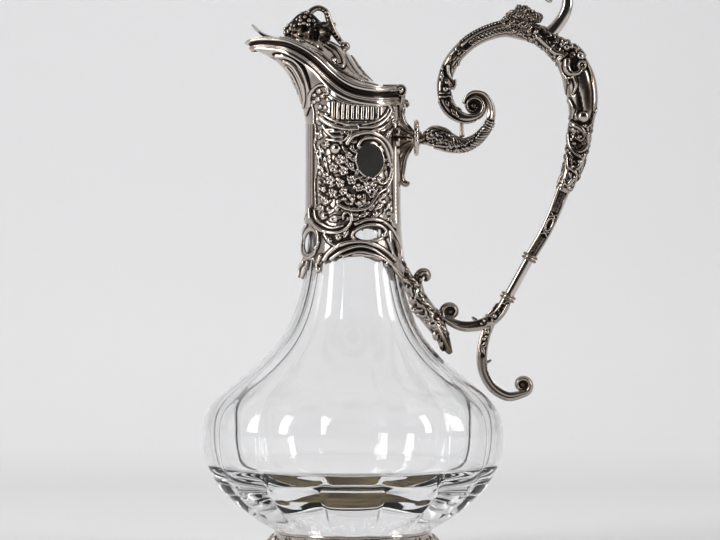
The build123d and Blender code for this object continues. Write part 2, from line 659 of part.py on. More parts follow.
def lower_scroll():
    """Branch that reaches in to the flask and the tail that hangs below it, both ending in volutes."""
    branch = [
        (*LOWER_KNOP, 2.9, 2.9), (79.5, 135.6, 3.4, 3.2), (74.0, 130.4, 3.5, 3.4), (66.5, 127.6, 2.8, 3.4),
        (59.0, 127.4, 2.6, 3.6), (53.5, 129.4, 2.1, SCROLL_WIDTH - 0.6),
    ]
    branch += spiral((52.6, 135.0), 4.6, 1.2, 215, -420, 1.6, 0.75, SCROLL_WIDTH - 0.6, SCROLL_WIDTH - 1.0)
    tail = [
        (74.6, 130.2, 2.6, 2.8), (71.4, 122.0, 2.8, 2.8), (69.6, 112.0, 2.9, 2.8), (70.6, 102.5, 2.7, 2.7),
        (75.8, 93.8, 2.6, 2.7), (83.8, 89.4, 2.4, 2.8), (90.8, 90.6, 2.0, 3.0),
    ]
    tail += spiral((91.4, 95.6), 4.6, 1.2, -55, 400, 1.7, 0.8, 3.2, 3.0)
    spur = limb([(67.5, 129.5, 1.2, 1.6), (65.2, 131.6, 0.9, 1.2), (63.6, 132.4, 0.4, 0.8)], spacing=3.0)
    thorn = limb([(71.0, 107.5, 1.2, 1.4), (73.6, 108.4, 0.8, 1.0), (75.0, 109.6, 0.4, 0.6)], spacing=3.0)
    web = Pos(52.6, 0, 135.0) * Rot(90, 0, 0) * Cylinder(3.4, 2.0)
    tail_web = Pos(91.4, 0, 95.6) * Rot(90, 0, 0) * Cylinder(3.4, 2.0)
    return limb(branch) + limb(tail) + spur + thorn + web + tail_web


def lion_mask():
    """Mask on top of the bow: round head with a muzzle and ears."""
    x, z = MASK_CENTRE
    head = Pos(x, 0, z) * scale(Sphere(MASK_RADIUS), by=(1, 0.95, 0.9))
    muzzle = Pos(x + 0.78 * MASK_RADIUS, 0, z - 0.9) * Sphere(0.42 * MASK_RADIUS)
    ears = None
    for side in (-1, 1):
        ear = Pos(x - 1.0, side * 0.68 * MASK_RADIUS, z + 0.55 * MASK_RADIUS) * Sphere(0.27 * MASK_RADIUS)
        ears = ear if ears is None else ears + ear
    return head + muzzle + ears


def thumb_scroll():
    """Smooth crook above the mask that curls back over itself."""
    stations = [
        (103.5, 282.5, 3.6, 3.8), (110.6, 290.6, 3.0, 3.0), (114.8, 297.0, 2.8, 2.8), (116.2, 303.5, 2.6, 2.6),
        (114.2, 309.2, 2.3, 2.3), (109.4, 311.4, 2.0, 2.0), (105.2, 308.6, 1.7, 1.8), (105.0, 304.2, 1.5, 1.6),
        (108.4, 302.8, 1.5, 1.6),
    ]
    return limb(stations)


def knop(centre, toward):
    """Turned collar of two beads, square to the shaft."""
    direction = Vector(toward[0] - centre[0], 0, toward[1] - centre[1]).normalized()
    half = KNOP_WIDTH / 2
    rim = 0.8 * KNOP_RADIUS
    outline = Wire([
        Line((0, 0, -half), (rim, 0, -half)),
        Spline((rim, 0, -half), (KNOP_RADIUS, 0, -half * 0.5), (rim, 0, 0), (KNOP_RADIUS, 0, half * 0.5),
               (rim, 0, half)),
        Line((rim, 0, half), (0, 0, half)),
        Line((0, 0, half), (0, 0, -half)),
    ])
    turned = revolve(Face(outline), axis=Axis.Z)
    return Plane(origin=(centre[0], 0, centre[1]), x_dir=(0, 1, 0), z_dir=direction) * turned


# ================================================================ sockets
def along_x(x, z, radius, length):
    """Cylinder parallel to X, its middle at x."""
    return Pos(x, 0, z) * Rot(0, 90, 0) * Cylinder(radius, length)


def socket_pin(play=0.0):
    """Tenon that joins the handle to its upper socket."""
    return along_x(FLANGE_X, FLANGE_Z, SOCKET_PIN_RADIUS + play, SOCKET_PIN_LENGTH + 2 * play)


def upper_socket():
    """Fluted calyx on the collar that ends in the flange, between two scroll arms."""
    face = FLANGE_X
    start = COLLAR_RADIUS - 4.0
    outline = Wire([
        Line((0, 0, start), (11.0, 0, start)),
        Line((11.0, 0, start), (11.0, 0, COLLAR_RADIUS - 0.6)),
        Spline((11.0, 0, COLLAR_RADIUS - 0.6), (7.0, 0, COLLAR_RADIUS + 2.2), (4.3, 0, COLLAR_RADIUS + 5.2),
               (4.0, 0, face - FLANGE_THICKNESS - 1.2), (FLANGE_RADIUS, 0, face - FLANGE_THICKNESS)),
        Line((FLANGE_RADIUS, 0, face - FLANGE_THICKNESS), (FLANGE_RADIUS - 0.6, 0, face)),
        Line((FLANGE_RADIUS - 0.6, 0, face), (0, 0, face)),
        Line((0, 0, face), (0, 0, start)),
    ])
    calyx = Pos(0, 0, FLANGE_Z) * Rot(0, 90, 0) * revolve(Face(outline), axis=Axis.Z)
    upper_arm = limb([(32.0, 231.6, 1.5, 2.2), (28.4, 236.0, 1.6, 2.4), (25.8, 241.0, 1.6, 2.6),
                      (26.4, 245.4, 1.6, 2.6), (28.6, 246.6, 1.4, 2.6)], spacing=3.0)
    lower_arm = limb([(32.0, 225.4, 1.5, 2.2), (28.6, 219.0, 1.6, 2.4), (26.4, 213.0, 1.6, 2.6),
                      (26.2, 207.0, 1.5, 2.6), (27.6, 204.2, 1.4, 2.6)], spacing=3.0)
    return calyx + upper_arm + lower_arm


def lower_socket():
    """Cast leaf that hugs the flask, with a curled knob above and an arm out to the handle."""
    height = MOUNT_TOP - MOUNT_TIP
    levels = evenly(MOUNT_TIP - 2, MOUNT_TOP, 8)
    bed = turned_block(glass_radius, levels, MOUNT_GAP)
    hug = turned_block(glass_radius, levels, MOUNT_THICKNESS) - bed
    plane = Plane(origin=(0, 0, MOUNT_TIP), x_dir=(0, 1, 0), z_dir=(1, 0, 0))
    half = [(0.0, 0.0), (3.0, 0.06), (4.6, 0.20), (6.6, 0.36), (8.6, 0.52), (11.4, 0.70), (12.4, 0.86), (11.0, 1.0)]
    right = [(y, share * height) for y, share in half]
    left = [(-y, z) for y, z in right]
    outline = Face(Wire([Spline(*right), Line(right[-1], left[-1]), Spline(*reversed(left))]))
    leaf = hug & extrude(plane * outline, amount=80)
    knob = [(29.0, 147.0, 2.4, 4.0), (33.0, 148.0, 2.6, 4.0), (37.4, 151.0, 2.2, 4.2)]
    knob += spiral((36.8, 155.2), 2.4, 0.9, -20, 300, 1.5, 0.9, 4.2, 3.8)
    arm = [(31.0, 144.0, 3.0, 4.6), (36.6, 143.8, 2.8, 4.2), (41.0, 140.2, 2.5, 4.0), (45.6, 136.4, 2.2, 3.8),
           (49.4, 133.0, 1.8, 3.4)]
    root = [(38.0, 136.0, 3.4, 4.4), (43.4, 131.4, 3.2, 4.2), (47.6, 126.0, 2.4, 3.8), (49.6, 119.6, 1.7, 3.4),
            (52.4, 114.0, 1.0, 2.4)]
    return leaf + (limb(knob, spacing=2.4) + limb(arm) + limb(root) - bed)


# ================================================================ foot
def foot_radius(z):
    """Outside radius of the foot's crests at height z."""
    rise = (z - FOOT_RIM_HEIGHT) / (SEAT_LEVEL - FOOT_RIM_HEIGHT)
    rim = FOOT_RADIUS - 1.0
    return rim - (rim - FOOT_NECK_RADIUS) * (0.62 * rise + 0.38 * rise ** 2)


def foot_shell():
    """Raised foot with a scalloped skirt and a flat plate for the glass."""
    levels = evenly(FOOT_RIM_HEIGHT, SEAT_LEVEL, 6)
    sections = []
    for z in levels:
        fade = 1 - (z - FOOT_RIM_HEIGHT) / (SEAT_LEVEL - FOOT_RIM_HEIGHT)
        sections.append(lobed_face(z, foot_radius(z), 0.3 + FOOT_LOBE_DEPTH * fade, FOOT_LOBES))
    inside = turned_block(foot_radius, evenly(FOOT_RIM_HEIGHT, SEAT_LEVEL - FOOT_PLATE, 5),
                          -FOOT_WALL - FOOT_LOBE_DEPTH)
    return loft(sections) - inside


def foot_plaster():
    """Plaster that fills and weights the foot, recessed above the floor."""
    bed = turned_block(foot_radius, evenly(FOOT_RIM_HEIGHT, SEAT_LEVEL - FOOT_PLATE, 5), -FOOT_WALL - FOOT_LOBE_DEPTH)
    recess = Pos(0, 0, FOOT_RECESS / 2) * Cylinder(FOOT_RADIUS, FOOT_RECESS)
    return bed - recess


def foot_rim_wire():
    """Flat-bottomed wire round the foot, on which the jug stands."""
    inner = FOOT_RADIUS - FOOT_WALL - FOOT_LOBE_DEPTH - 2.0
    ring = Pos(0, 0, FOOT_RIM_HEIGHT / 2) * Cylinder(FOOT_RADIUS, FOOT_RIM_HEIGHT)
    ring = fillet(ring.edges().filter_by(GeomType.CIRCLE), 0.9)
    return ring - Pos(0, 0, FOOT_RIM_HEIGHT / 2) * Cylinder(inner, FOOT_RIM_HEIGHT)


def glass_bezel():
    """Beaded wire round the edge of the plate, holding the glass."""
    ring = Pos(0, 0, SEAT_LEVEL) * Torus(FOOT_NECK_RADIUS - 0.4, BEZEL_RADIUS)
    return ring


def main_body(shape):
    """The largest solid of a cut, without the crumbs that a tangent cut leaves."""
    return max(shape.solids(), key=lambda solid: solid.volume)


def write(name, shape):
    os.makedirs("parts", exist_ok=True)
    export_step(shape, f"parts/{name}.step")
    return shape


def jug_vessel():
    """Glass, plaster, collar, spout and foot."""
    flask_block = glass_flask()
    write("glass_flask", flask_block - glass_cavity() - punt())
    write("punt_plaster", punt())
    write("neck_plaster", neck_plaster(flask_block))
    sleeve = write("neck_sleeve", neck_sleeve())
    skirt = apron()
    foot = write("foot_shell", foot_shell())
    write("foot_plaster", foot_plaster())
    write("foot_rim_wire", foot_rim_wire())
    write("glass_bezel", glass_bezel() - flask_block - foot)
    return sleeve, skirt


def mouth_and_lid():
    """Spout, mouth moulding, hinge and lid."""
    outside, inside = spout_body(0.0), spout_body(-SPOUT_WALL)
    thin, wide = spout_body(MOULDING_PROUD), spout_body(LID_RIM_PROUD)
    room = hinge_room(LID_GAP)
    rear = Pos(COLLAR_RADIUS + 1.0, 0, SADDLE_LEVEL) * Box(6.0, HINGE_WIDTH + 2 * PIN_END + 0.6, 14)
    bracket = write("hinge_bracket", hinge_bracket(outside))
    spout = write("spout", spout_shell(outside, inside) - room)
    write("spout_medallion", spout_medallion(outside, thin))
    write("mouth_moulding", mouth_moulding(outside, (thin, wide)) - rear)
    block = lid_dome(DOME_INSET, 0.0)
    stud_hole = finial_stud(PIN_FIT)
    rim = write("lid_rim", lid_rim(wide, inside) - room)
    shell = write("lid_shell", lid_shell(block) - room - stud_hole - rim)
    write("lid_tongue", lid_tongue() - rim - shell)
    write("lid_hinge_leaf", lid_hinge_leaf([rim, shell]))
    write("hinge_pin", hinge_pin())
    bunch = write("grape_bunch", grape_bunch(block))
    for name, side in (("near", -1), ("far", 1)):
        write(f"vine_leaf_{name}", main_body(vine_leaf(side) - bunch - block))
    write("vine_loop", main_body(vine_loop() - bunch - block))
    write("finial_nut", finial_nut() - stud_hole - shell)
    return outside, bracket


def handle(sleeve, skirt, outside, bracket):
    """Cast handle and the two sockets that carry it."""
    write("socket_pin", socket_pin())
    pin = socket_pin(PIN_FIT)
    bow_part = write("handle_bow", bow())
    upper = upper_scroll() - (Pos(FLANGE_X - 25, 0, FLANGE_Z) * Box(50, 60, 60)) - pin - bow_part
    write("handle_upper_scroll", upper)
    socket = upper_socket() - sleeve - outside - turned_block(collar_radius, collar_levels()) - bracket - pin
    write("upper_handle_socket", main_body(socket))
    knops = [knop(UPPER_KNOP, LOWER_KNOP), knop(LOWER_KNOP, UPPER_KNOP)]
    write("knop_upper", knops[0])
    write("knop_lower", knops[1])
    shoulder_part = write("handle_shoulder", shoulder() - bow_part)
    write("handle_shaft", limb(shaft_stations(), spacing=8.0) - shoulder_part - knops[0])
    write("handle_stem", limb(stem_stations(), spacing=12.0) - knops[0] - knops[1])
    scroll = write("handle_lower_scroll", lower_scroll() - knops[1])
    mount = lower_socket() - scroll
    write("lower_handle_socket", main_body(mount - skirt))
    write("apron", skirt)
    mask = write("lion_mask", lion_mask() - bow_part)
    write("thumb_scroll", thumb_scroll() - bow_part - shoulder_part - mask)


def main():
    sleeve, skirt = jug_vessel()
    outside, bracket = mouth_and_lid()
    handle(sleeve, skirt, outside, bracket)


main()
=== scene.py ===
"""Looks of a silver-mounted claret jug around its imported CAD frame.

Shapes are worked out in millimetres, in the frame's own axes: +Z up, spout to -X, handle to +X.
"""

import math

import bmesh
import bpy
import numpy as np
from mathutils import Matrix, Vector


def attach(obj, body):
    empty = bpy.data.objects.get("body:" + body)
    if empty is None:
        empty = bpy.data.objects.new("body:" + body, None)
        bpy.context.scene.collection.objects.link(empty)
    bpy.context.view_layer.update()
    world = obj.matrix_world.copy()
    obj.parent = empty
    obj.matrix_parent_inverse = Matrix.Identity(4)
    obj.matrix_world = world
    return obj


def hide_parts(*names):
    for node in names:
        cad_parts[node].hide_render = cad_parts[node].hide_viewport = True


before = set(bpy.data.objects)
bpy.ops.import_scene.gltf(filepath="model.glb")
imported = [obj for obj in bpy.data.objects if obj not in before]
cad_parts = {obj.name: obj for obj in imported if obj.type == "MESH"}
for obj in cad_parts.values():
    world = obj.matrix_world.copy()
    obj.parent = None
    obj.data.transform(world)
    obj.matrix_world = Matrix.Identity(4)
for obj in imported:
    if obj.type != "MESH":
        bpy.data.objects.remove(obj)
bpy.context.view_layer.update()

MM = 0.001

# ---------------------------------------------------------------- glass flask
LOBES = 14
SEAT_LEVEL = 17.0
GLASS_BASE_RADIUS = 41.0
BELLY_LEVEL = 69.5
BELLY_RADIUS = 81.8
NECK_RADIUS = 20.8
SHOULDER_SPREAD = 38.5
SHOULDER_POWER = 2.8
BASE_CURVE_POWER = 2.35
GLASS_TOP = 234.0
BELLY_WALL = 2.8
NECK_WALL = 2.4
GLASS_FLOOR = 25.0
LOBE_DEPTH = 3.0
NECK_LOBE_DEPTH = 0.4
INNER_LOBE_SHARE = 0.85
PUNT_RADIUS = 25.0
PUNT_RISE = 4.0
FLOOR_ROUND = 12.0
FLOOR_FLAT = 30.0

# ---------------------------------------------------------------- collar, spout and lid
COLLAR_RADIUS = 25.2
COLLAR_FOOT = 182.0
COLLAR_STANDOFF = 1.0
COLLAR_WALL = 0.9
APRON_FOOT = 153.5
SPOUT_FOOT = 236.0
SPOUT_REACH = 57.4
SPOUT_NOSE = 6.0
SPOUT_WALL = 1.0
SPOUT_INSET = 0.3
LIP_LEVEL = 280.3
SADDLE_LEVEL = 252.1
LID_RIM = 3.4
LID_CREST = 284.4
HINGE_X = 25.6
HINGE_Z = 254.3
FLANGE_Z = 229.0
ORNAMENT_RADIUS = COLLAR_RADIUS + 0.4  # on which places seen from the front are laid


# ================================================================ small maths
CURVE_STEPS = 24  # fine steps of a smooth line between two given points
CURL_STEP = 20    # degrees between two points of a spiral


def run_along(line):
    """Length travelled at each point of a line."""
    return np.concatenate([[0], np.cumsum(np.linalg.norm(np.diff(line, axis=0), axis=1))])


def smooth_line(points, spacing):
    """Evenly spaced points on a smooth curve through the given ones, any number of columns."""
    given = np.asarray(points, float)
    if len(given) == 2:
        count = max(2, int(np.linalg.norm(given[1, :2] - given[0, :2]) / spacing) + 2)
        return given[0] + (given[1] - given[0]) * np.linspace(0, 1, count)[:, None]
    chord = np.sqrt(np.linalg.norm(np.diff(given[:, :2], axis=0), axis=1))
    knots = np.concatenate([[0], np.cumsum(np.maximum(chord, 1e-6))])
    fine = np.linspace(0, knots[-1], len(given) * CURVE_STEPS)
    curve = hermite(fine, knots, given, np.gradient(given, knots, axis=0))
    run = run_along(curve[:, :2])
    count = max(len(given), int(run[-1] / spacing) + 2)
    even = np.linspace(0, run[-1], count)
    return np.stack([np.interp(even, run, curve[:, k]) for k in range(curve.shape[1])], axis=1)


def hermite(at, knots, values, slopes):
    """Cubic through values with the given slopes."""
    i = np.clip(np.searchsorted(knots, at, side="right") - 1, 0, len(knots) - 2)
    step = (knots[i + 1] - knots[i])[:, None]
    u = ((at - knots[i]) / (knots[i + 1] - knots[i]))[:, None]
    return (
        values[i] * (1 + 2 * u) * (1 - u) ** 2
        + slopes[i] * step * u * (1 - u) ** 2
        + values[i + 1] * u * u * (3 - 2 * u)
        + slopes[i + 1] * step * u * u * (u - 1)
    )


def smooth_values(at, knots, values):
    """The same cubic for one column of numbers, of any shape of at."""
    knots, values = np.asarray(knots, float), np.asarray(values, float)
    flat = hermite(np.ravel(at), knots, values[:, None], np.gradient(values, knots)[:, None])
    return flat[:, 0].reshape(np.shape(at))


def ease(x, low, high):
    """0 below low, 1 above high, smooth between."""
    u = np.clip((x - low) / (high - low), 0, 1)
    return u * u * (3 - 2 * u)


def ridge(x, middle, width):
    """1 at middle, falling off smoothly to both sides."""
    return np.exp(-((x - middle) / width) ** 2)


def full_turn(steps, start=0.0):
    """Angles once round, in radians."""
    return np.linspace(start, start + 2 * math.pi, steps, endpoint=False)


def turned(x, y, degrees):
    """Places in axes turned by the given angle."""
    c, n = math.cos(math.radians(degrees)), math.sin(math.radians(degrees))
    return x * c + y * n, -x * n + y * c


def curl(centre, start_radius, end_radius, start_angle, sweep):
    """Points of a spiral, angles in degrees."""
    count = max(4, int(abs(sweep) / CURL_STEP) + 1)
    points = []
    for share in np.linspace(0, 1, count):
        angle = math.radians(start_angle + sweep * share)
        radius = start_radius + (end_radius - start_radius) * share
        points.append((centre[0] + radius * math.cos(angle), centre[1] + radius * math.sin(angle)))
    return points


def value_noise(x, y, z, scale, seed=0):
    """Smooth noise from -1 to 1 on a lattice of the given scale."""
    def lattice(i, j, k):
        mixed = np.sin(i * 127.1 + j * 311.7 + k * 74.7 + seed * 53.3) * 43758.5453
        return (mixed - np.floor(mixed)) * 2 - 1

    p, q, r = x / scale, y / scale, z / scale
    i, j, k = np.floor(p), np.floor(q), np.floor(r)
    u, v, w = (c * c * (3 - 2 * c) for c in (p - i, q - j, r - k))
    total = 0
    for a in (0, 1):
        for b in (0, 1):
            for c in (0, 1):
                share = (u if a else 1 - u) * (v if b else 1 - v) * (w if c else 1 - w)
                total = total + share * lattice(i + a, j + b, k + c)
    return total


# ================================================================ relief
PETALS = 5


class Relief:
    """Raised pattern on a chart: s runs to the right and t up, in millimetres, heights too."""

    def __init__(self, s, t):
        self.s, self.t = s, t
        self.height = np.zeros(s.shape)
        # painted shade laid on the chart, added on top of the tarnish of its hollows
        self.painted_shade = np.zeros(s.shape)

    def near(self, points, reach):
        """Which places of the chart lie in the box that the points span, widened by reach."""
        low, high = points.min(axis=0) - reach, points.max(axis=0) + reach
        inside = (self.s > low[0]) & (self.s < high[0]) & (self.t > low[1]) & (self.t < high[1])
        return np.nonzero(inside)

    def lift(self, where, values):
        """Raises the chart to the given values where they are above 0."""
        old = self.height[where]
        self.height[where] = np.where(values > 0, np.maximum(old, values), old)

    def stroke(self, points, width, height, taper=1.0, dig=0.25):
        """Rounded ridge of a half width that tapers to its end, with a shallow ditch beside it."""
        line = smooth_line(points, max(0.25, width * 0.3))
        widths = np.interp(np.linspace(0, 1, len(line)), [0, 0.35, 1], [width, width, width * taper])
        where = self.near(line, width * 1.9)
        if len(where[0]) == 0:
            return
        s, t = self.s[where][:, None], self.t[where][:, None]
        best = np.full(len(where[0]), 9.0)
        size = np.full(len(where[0]), width)
        for k in range(0, len(line), 64):
            part, wide = line[k:k + 64], widths[k:k + 64]
            d = np.hypot(s - part[None, :, 0], t - part[None, :, 1]) / wide[None, :]
            i = d.argmin(axis=1)
            closer = d[np.arange(len(i)), i]
            better = closer < best
            best = np.where(better, closer, best)
            size = np.where(better, wide[i], size)
        round_top = np.sqrt(np.clip(1 - best ** 2, 0, 1))
        self.lift(where, height * round_top * (size / width) ** 0.5)
        ditch = np.minimum(dig * height * ridge(best, 1.35, 0.28), 0.5 * height)
        self.height[where] -= np.where(best > 1.0, ditch, 0.0)

    def from_point(self, s, t, reach):
        """Which places of the chart lie about a point, and how far right and up of it."""
        where = self.near(np.array([[s, t]]), reach)
        return where, self.s[where] - s, self.t[where] - t

    def boss(self, s, t, radius, height, squash=1.0):
        """Round or oval boss."""
        where, ds, dt = self.from_point(s, t, radius)
        along, across = ds / (radius * squash), dt / radius
        self.lift(where, height * np.clip(1 - along ** 2 - across ** 2, 0, 1) ** 0.5)

    def flower(self, s, t, radius, height, turn=0.0):
        """Open flower: petals round a raised eye."""
        where, ds, dt = self.from_point(s, t, radius)
        d, angle = np.hypot(ds, dt) / radius, np.arctan2(dt, ds) + math.radians(turn)
        petal = np.abs(np.cos(angle * PETALS / 2)) ** 0.6
        edge = 0.62 + 0.38 * petal
        bowl = np.clip(1 - (d / edge) ** 4, 0, 1) ** 0.5 * (0.35 + 0.65 * np.clip(d / edge, 0, 1))
        bowl = bowl * (0.6 + 0.4 * petal)
        eye = np.clip(1 - (d / 0.28) ** 2, 0, 1) ** 0.5
        self.lift(where, height * np.maximum(bowl, eye))

    def leaf(self, root, tip, width, height, lobes=3, bend=0.0):
        """Acanthus leaf from root to tip with scalloped edges and sunk veins."""
        a, b = np.array(root[:2], float), np.array(tip[:2], float)
        length = np.linalg.norm(b - a)
        along = (b - a) / length
        across = np.array([-along[1], along[0]])
        where = self.near(np.array([a, b]), width * 1.4 + abs(bend))
        ds, dt = self.s[where] - a[0], self.t[where] - a[1]
        x = (ds * along[0] + dt * along[1]) / length
        y = ds * across[0] + dt * across[1] - bend * np.sin(np.pi * np.clip(x, 0, 1))
        inside = (x > 0) & (x < 1)
        x = np.clip(x, 0, 1)
        scallop = 1 - 0.34 * np.abs(np.sin(np.pi * (x * lobes)))
        half = width * np.sin(np.pi * x ** 0.75) ** 0.8 * scallop + 1e-6
        q = np.abs(y) / half
        body = np.clip(1 - q ** 2.4, 0, 1) ** 0.5
        vein = np.exp(-(y / (0.16 * width)) ** 2)
        ribs = 0.5 + 0.5 * np.cos(2 * np.pi * (x * lobes - 0.9 * q))
        self.lift(where, np.where(inside, height * body * (0.66 + 0.34 * ribs) * (1 - 0.45 * vein), 0))

    def shell(self, s, t, radius, start, sweep, height, ribs):
        """Fan of gadroons round a point, between two angles in degrees."""
        where, ds, dt = self.from_point(s, t, radius * 1.05)
        d = np.hypot(ds, dt) / radius
        share = ((np.degrees(np.arctan2(dt, ds)) - start) % 360) / sweep
        gadroon = np.abs(np.sin(np.pi * share * ribs)) ** 0.5
        edge = 0.86 + 0.14 * gadroon
        inside = (share <= 1) & (d > 0.2) & (d < edge)
        body = (0.35 + 0.65 * gadroon) * np.clip(1 - (d / edge) ** 6, 0, 1) ** 0.5 * (0.5 + 0.5 * d)
        self.lift(where, np.where(inside, height * body, 0))

    def paint_shade(self, s, t, radius, amount, squash=1.0, turn=0.0):
        """Patch of painted shade, darker than the relief's height alone would make it."""
        along, across = turned(self.s - s, self.t - t, turn)
        away = np.hypot(along / (radius * squash), across / radius)
        self.painted_shade = np.maximum(self.painted_shade, amount * (1 - ease(away, 0.6, 1.0)))

    def sink(self, s, t, radius, depth):
        """Hollow pressed into the chart."""
        away = np.hypot(self.s - s, self.t - t) / radius
        self.height -= depth * (1 - ease(away, 0.6, 1.0))

    def matt(self, depth):
        """Punched ground: small dots beaten into what the ornament leaves bare."""
        noise = value_noise(self.s, self.t, np.zeros(self.s.shape), 0.55, 3)
        self.height = self.height + np.where(self.height < 0.1, depth * noise, 0)


def blur_grid(values, passes, wrap_columns):
    """Averages a grid with its neighbours; rows are never wrapped."""
    out = values.copy()
    for _ in range(passes):
        up = np.vstack([out[:1], out[:-1]])
        down = np.vstack([out[1:], out[-1:]])
        if wrap_columns:
            left, right = np.roll(out, 1, axis=1), np.roll(out, -1, axis=1)
        else:
            left = np.hstack([out[:, :1], out[:, :-1]])
            right = np.hstack([out[:, 1:], out[:, -1:]])
        out = (2 * out + up + down + left + right) / 6
    return out


def patina_of(height, depth, wrap_columns, passes=10):
    """Dark in the narrow hollows of a relief and in its wider low grounds, 0 on what stands proud."""
    narrow = blur_grid(height, passes, wrap_columns)
    wide = blur_grid(narrow, passes * 4, wrap_columns)
    hollow = 0.85 * ease(narrow - height, 0.0, 0.20 * depth)
    low_ground = 0.5 * ease(wide - height, 0.05 * depth, 0.45 * depth)
    proud = 0.25 * ease(height - wide, 0.1 * depth, 0.5 * depth)
    return np.clip(hollow + low_ground - proud + 0.08, 0, 1)


# ================================================================ meshes
def add_object(name, data):
    """Object in the scene that carries the data."""
    obj = bpy.data.objects.new(name, data)
    bpy.context.scene.collection.objects.link(obj)
    return obj


def store_tarnish_and_shade(mesh, values):
    """Stores how dark each vertex is, tarnish and painted shade together, from 0 to 1."""
    layer = mesh.attributes.get("tarnish_and_shade") or mesh.attributes.new("tarnish_and_shade", "FLOAT", "POINT")
    layer.data.foreach_set("value", np.ravel(values).astype(np.float32))


def vertex_rows(mesh, what):
    """Places ("co") or normals ("normal") of a mesh's vertices, one row each."""
    values = np.empty(len(mesh.vertices) * 3)
    mesh.vertices.foreach_get(what, values)
    return values.reshape(-1, 3)


def new_mesh(name, points, faces, tarnish_and_shade=None):
    """Mesh object from points in millimetres."""
    mesh = bpy.data.meshes.new(name)
    mesh.from_pydata((np.asarray(points) * MM).tolist(), [], [list(map(int, f)) for f in faces])
    if tarnish_and_shade is not None:
        store_tarnish_and_shade(mesh, tarnish_and_shade)
    mesh.validate()
    mesh.shade_smooth()
    return add_object(name, mesh)


def mesh_of_balls(name, balls, subdivisions):
    """One mesh with a ball (x, y, z, rx, ry, rz) for each row, in millimetres."""
    work = bmesh.new()
    for x, y, z, rx, ry, rz in balls:
        for vert in bmesh.ops.create_icosphere(work, subdivisions=subdivisions, radius=1.0)["verts"]:
            vert.co = ((x + rx * vert.co.x) * MM, (y + ry * vert.co.y) * MM, (z + rz * vert.co.z) * MM)
    mesh = bpy.data.meshes.new(name)
    work.to_mesh(mesh)
    work.free()
    return mesh


def grid_faces(rows, columns, wrap_columns=False, wrap_rows=False, flip=False):
    """Four-sided faces of a grid of points, row by row."""
    down, across = rows if wrap_rows else rows - 1, columns if wrap_columns else columns - 1
    i, j = np.meshgrid(np.arange(down), np.arange(across), indexing="ij")
    k, m = (i + 1) % rows, (j + 1) % columns
    quads = np.stack([i * columns + j, i * columns + m, k * columns + m, k * columns + j], axis=-1)
    quads = quads.reshape(-1, 4)
    return quads[:, ::-1] if flip else quads


def capped(points, flip=False):
    """Points and faces of a tube of rings (rows, columns, 3) closed at both ends by a middle point."""
    rows, columns = points.shape[:2]
    faces = [list(f) for f in grid_faces(rows, columns, wrap_columns=True, flip=flip)]
    first, last, top = rows * columns, rows * columns + 1, (rows - 1) * columns
    for j in range(columns):
        k = (j + 1) % columns
        ends = [[k, j, first], [top + j, top + k, last]]
        faces += [f[::-1] for f in ends] if flip else ends
    every = np.vstack([points.reshape(-1, 3), points[0].mean(axis=0), points[-1].mean(axis=0)])
    return every, faces


def cavity_patina(mesh, strength, floor, passes=2):
    """Stores patina from how hollow the mesh is at each vertex."""
    count = len(mesh.vertices)
    co, no = vertex_rows(mesh, "co"), vertex_rows(mesh, "normal")
    ends = np.empty(len(mesh.edges) * 2, int)
    mesh.edges.foreach_get("vertices", ends)
    a, b = ends.reshape(-1, 2).T
    delta = co[b] - co[a]
    length = np.linalg.norm(delta, axis=1) + 1e-12
    bent, ways = np.zeros(count), np.zeros(count)
    np.add.at(bent, a, (no[a] * delta).sum(axis=1) / length)
    np.add.at(bent, b, -(no[b] * delta).sum(axis=1) / length)
    np.add.at(ways, a, 1)
    np.add.at(ways, b, 1)
    hollow = bent / np.maximum(ways, 1)
    for _ in range(passes):
        total, n = hollow.copy(), np.ones(count)
        np.add.at(total, a, hollow[b])
        np.add.at(total, b, hollow[a])
        np.add.at(n, a, 1)
        np.add.at(n, b, 1)
        hollow = total / n
    store_tarnish_and_shade(mesh, np.clip(floor + strength * hollow, 0, 1))


def use_material(obj, material):
    """Gives an object this material and no other."""
    obj.data.materials.clear()
    obj.data.materials.append(material)


def dress(obj, material, body, slot, *nodes):
    """Gives a piece its material and body, and lets it stand for CAD nodes. The slot is not used."""
    use_material(obj, material)
    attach(obj, body)
    if nodes:
        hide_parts(*nodes)
    return obj


# ================================================================ materials
def new_material(name):
    """Material with its node tree and its shader."""
    material = bpy.data.materials.new(name)
    material.use_nodes = True
    tree = material.node_tree
    shader = next(n for n in tree.nodes if n.type == "BSDF_PRINCIPLED")
    return material, tree, shader


def noise_at(tree, scale, detail=3.0):
    """Noise in object coordinates, in cells per metre."""
    where = tree.nodes.new("ShaderNodeTexCoord")
    noise = tree.nodes.new("ShaderNodeTexNoise")
    noise.inputs["Scale"].default_value = scale
    noise.inputs["Detail"].default_value = detail
    tree.links.new(where.outputs["Object"], noise.inputs["Vector"])
    return noise.outputs["Fac"]


def ramp(tree, socket, stops):
    """Colour ramp through (place, colour) stops."""
    node = tree.nodes.new("ShaderNodeValToRGB")
    elements = node.color_ramp.elements
    while len(elements) < len(stops):
        elements.new(0.5)
    for element, (place, colour) in zip(elements, stops):
        element.position = place
        element.color = (*colour, 1.0)
    tree.links.new(socket, node.inputs["Fac"])
    return node.outputs["Color"]


def calculate(tree, operation, a, b):
    """Socket with the result of a sum on two sockets or numbers."""
    node = tree.nodes.new("ShaderNodeMath")
    node.operation = operation
    for socket, value in zip(node.inputs, (a, b)):
        if isinstance(value, (int, float)):
            socket.default_value = value
        else:
            tree.links.new(value, socket)
    return node.outputs[0]


def bump_from(tree, shader, socket, strength, distance):
    """Makes the shader's surface uneven by a socket, with the distance in metres."""
    node = tree.nodes.new("ShaderNodeBump")
    node.inputs["Strength"].default_value = strength
    node.inputs["Distance"].default_value = distance
    tree.links.new(socket, node.inputs["Height"])
    tree.links.new(node.outputs["Normal"], shader.inputs["Normal"])


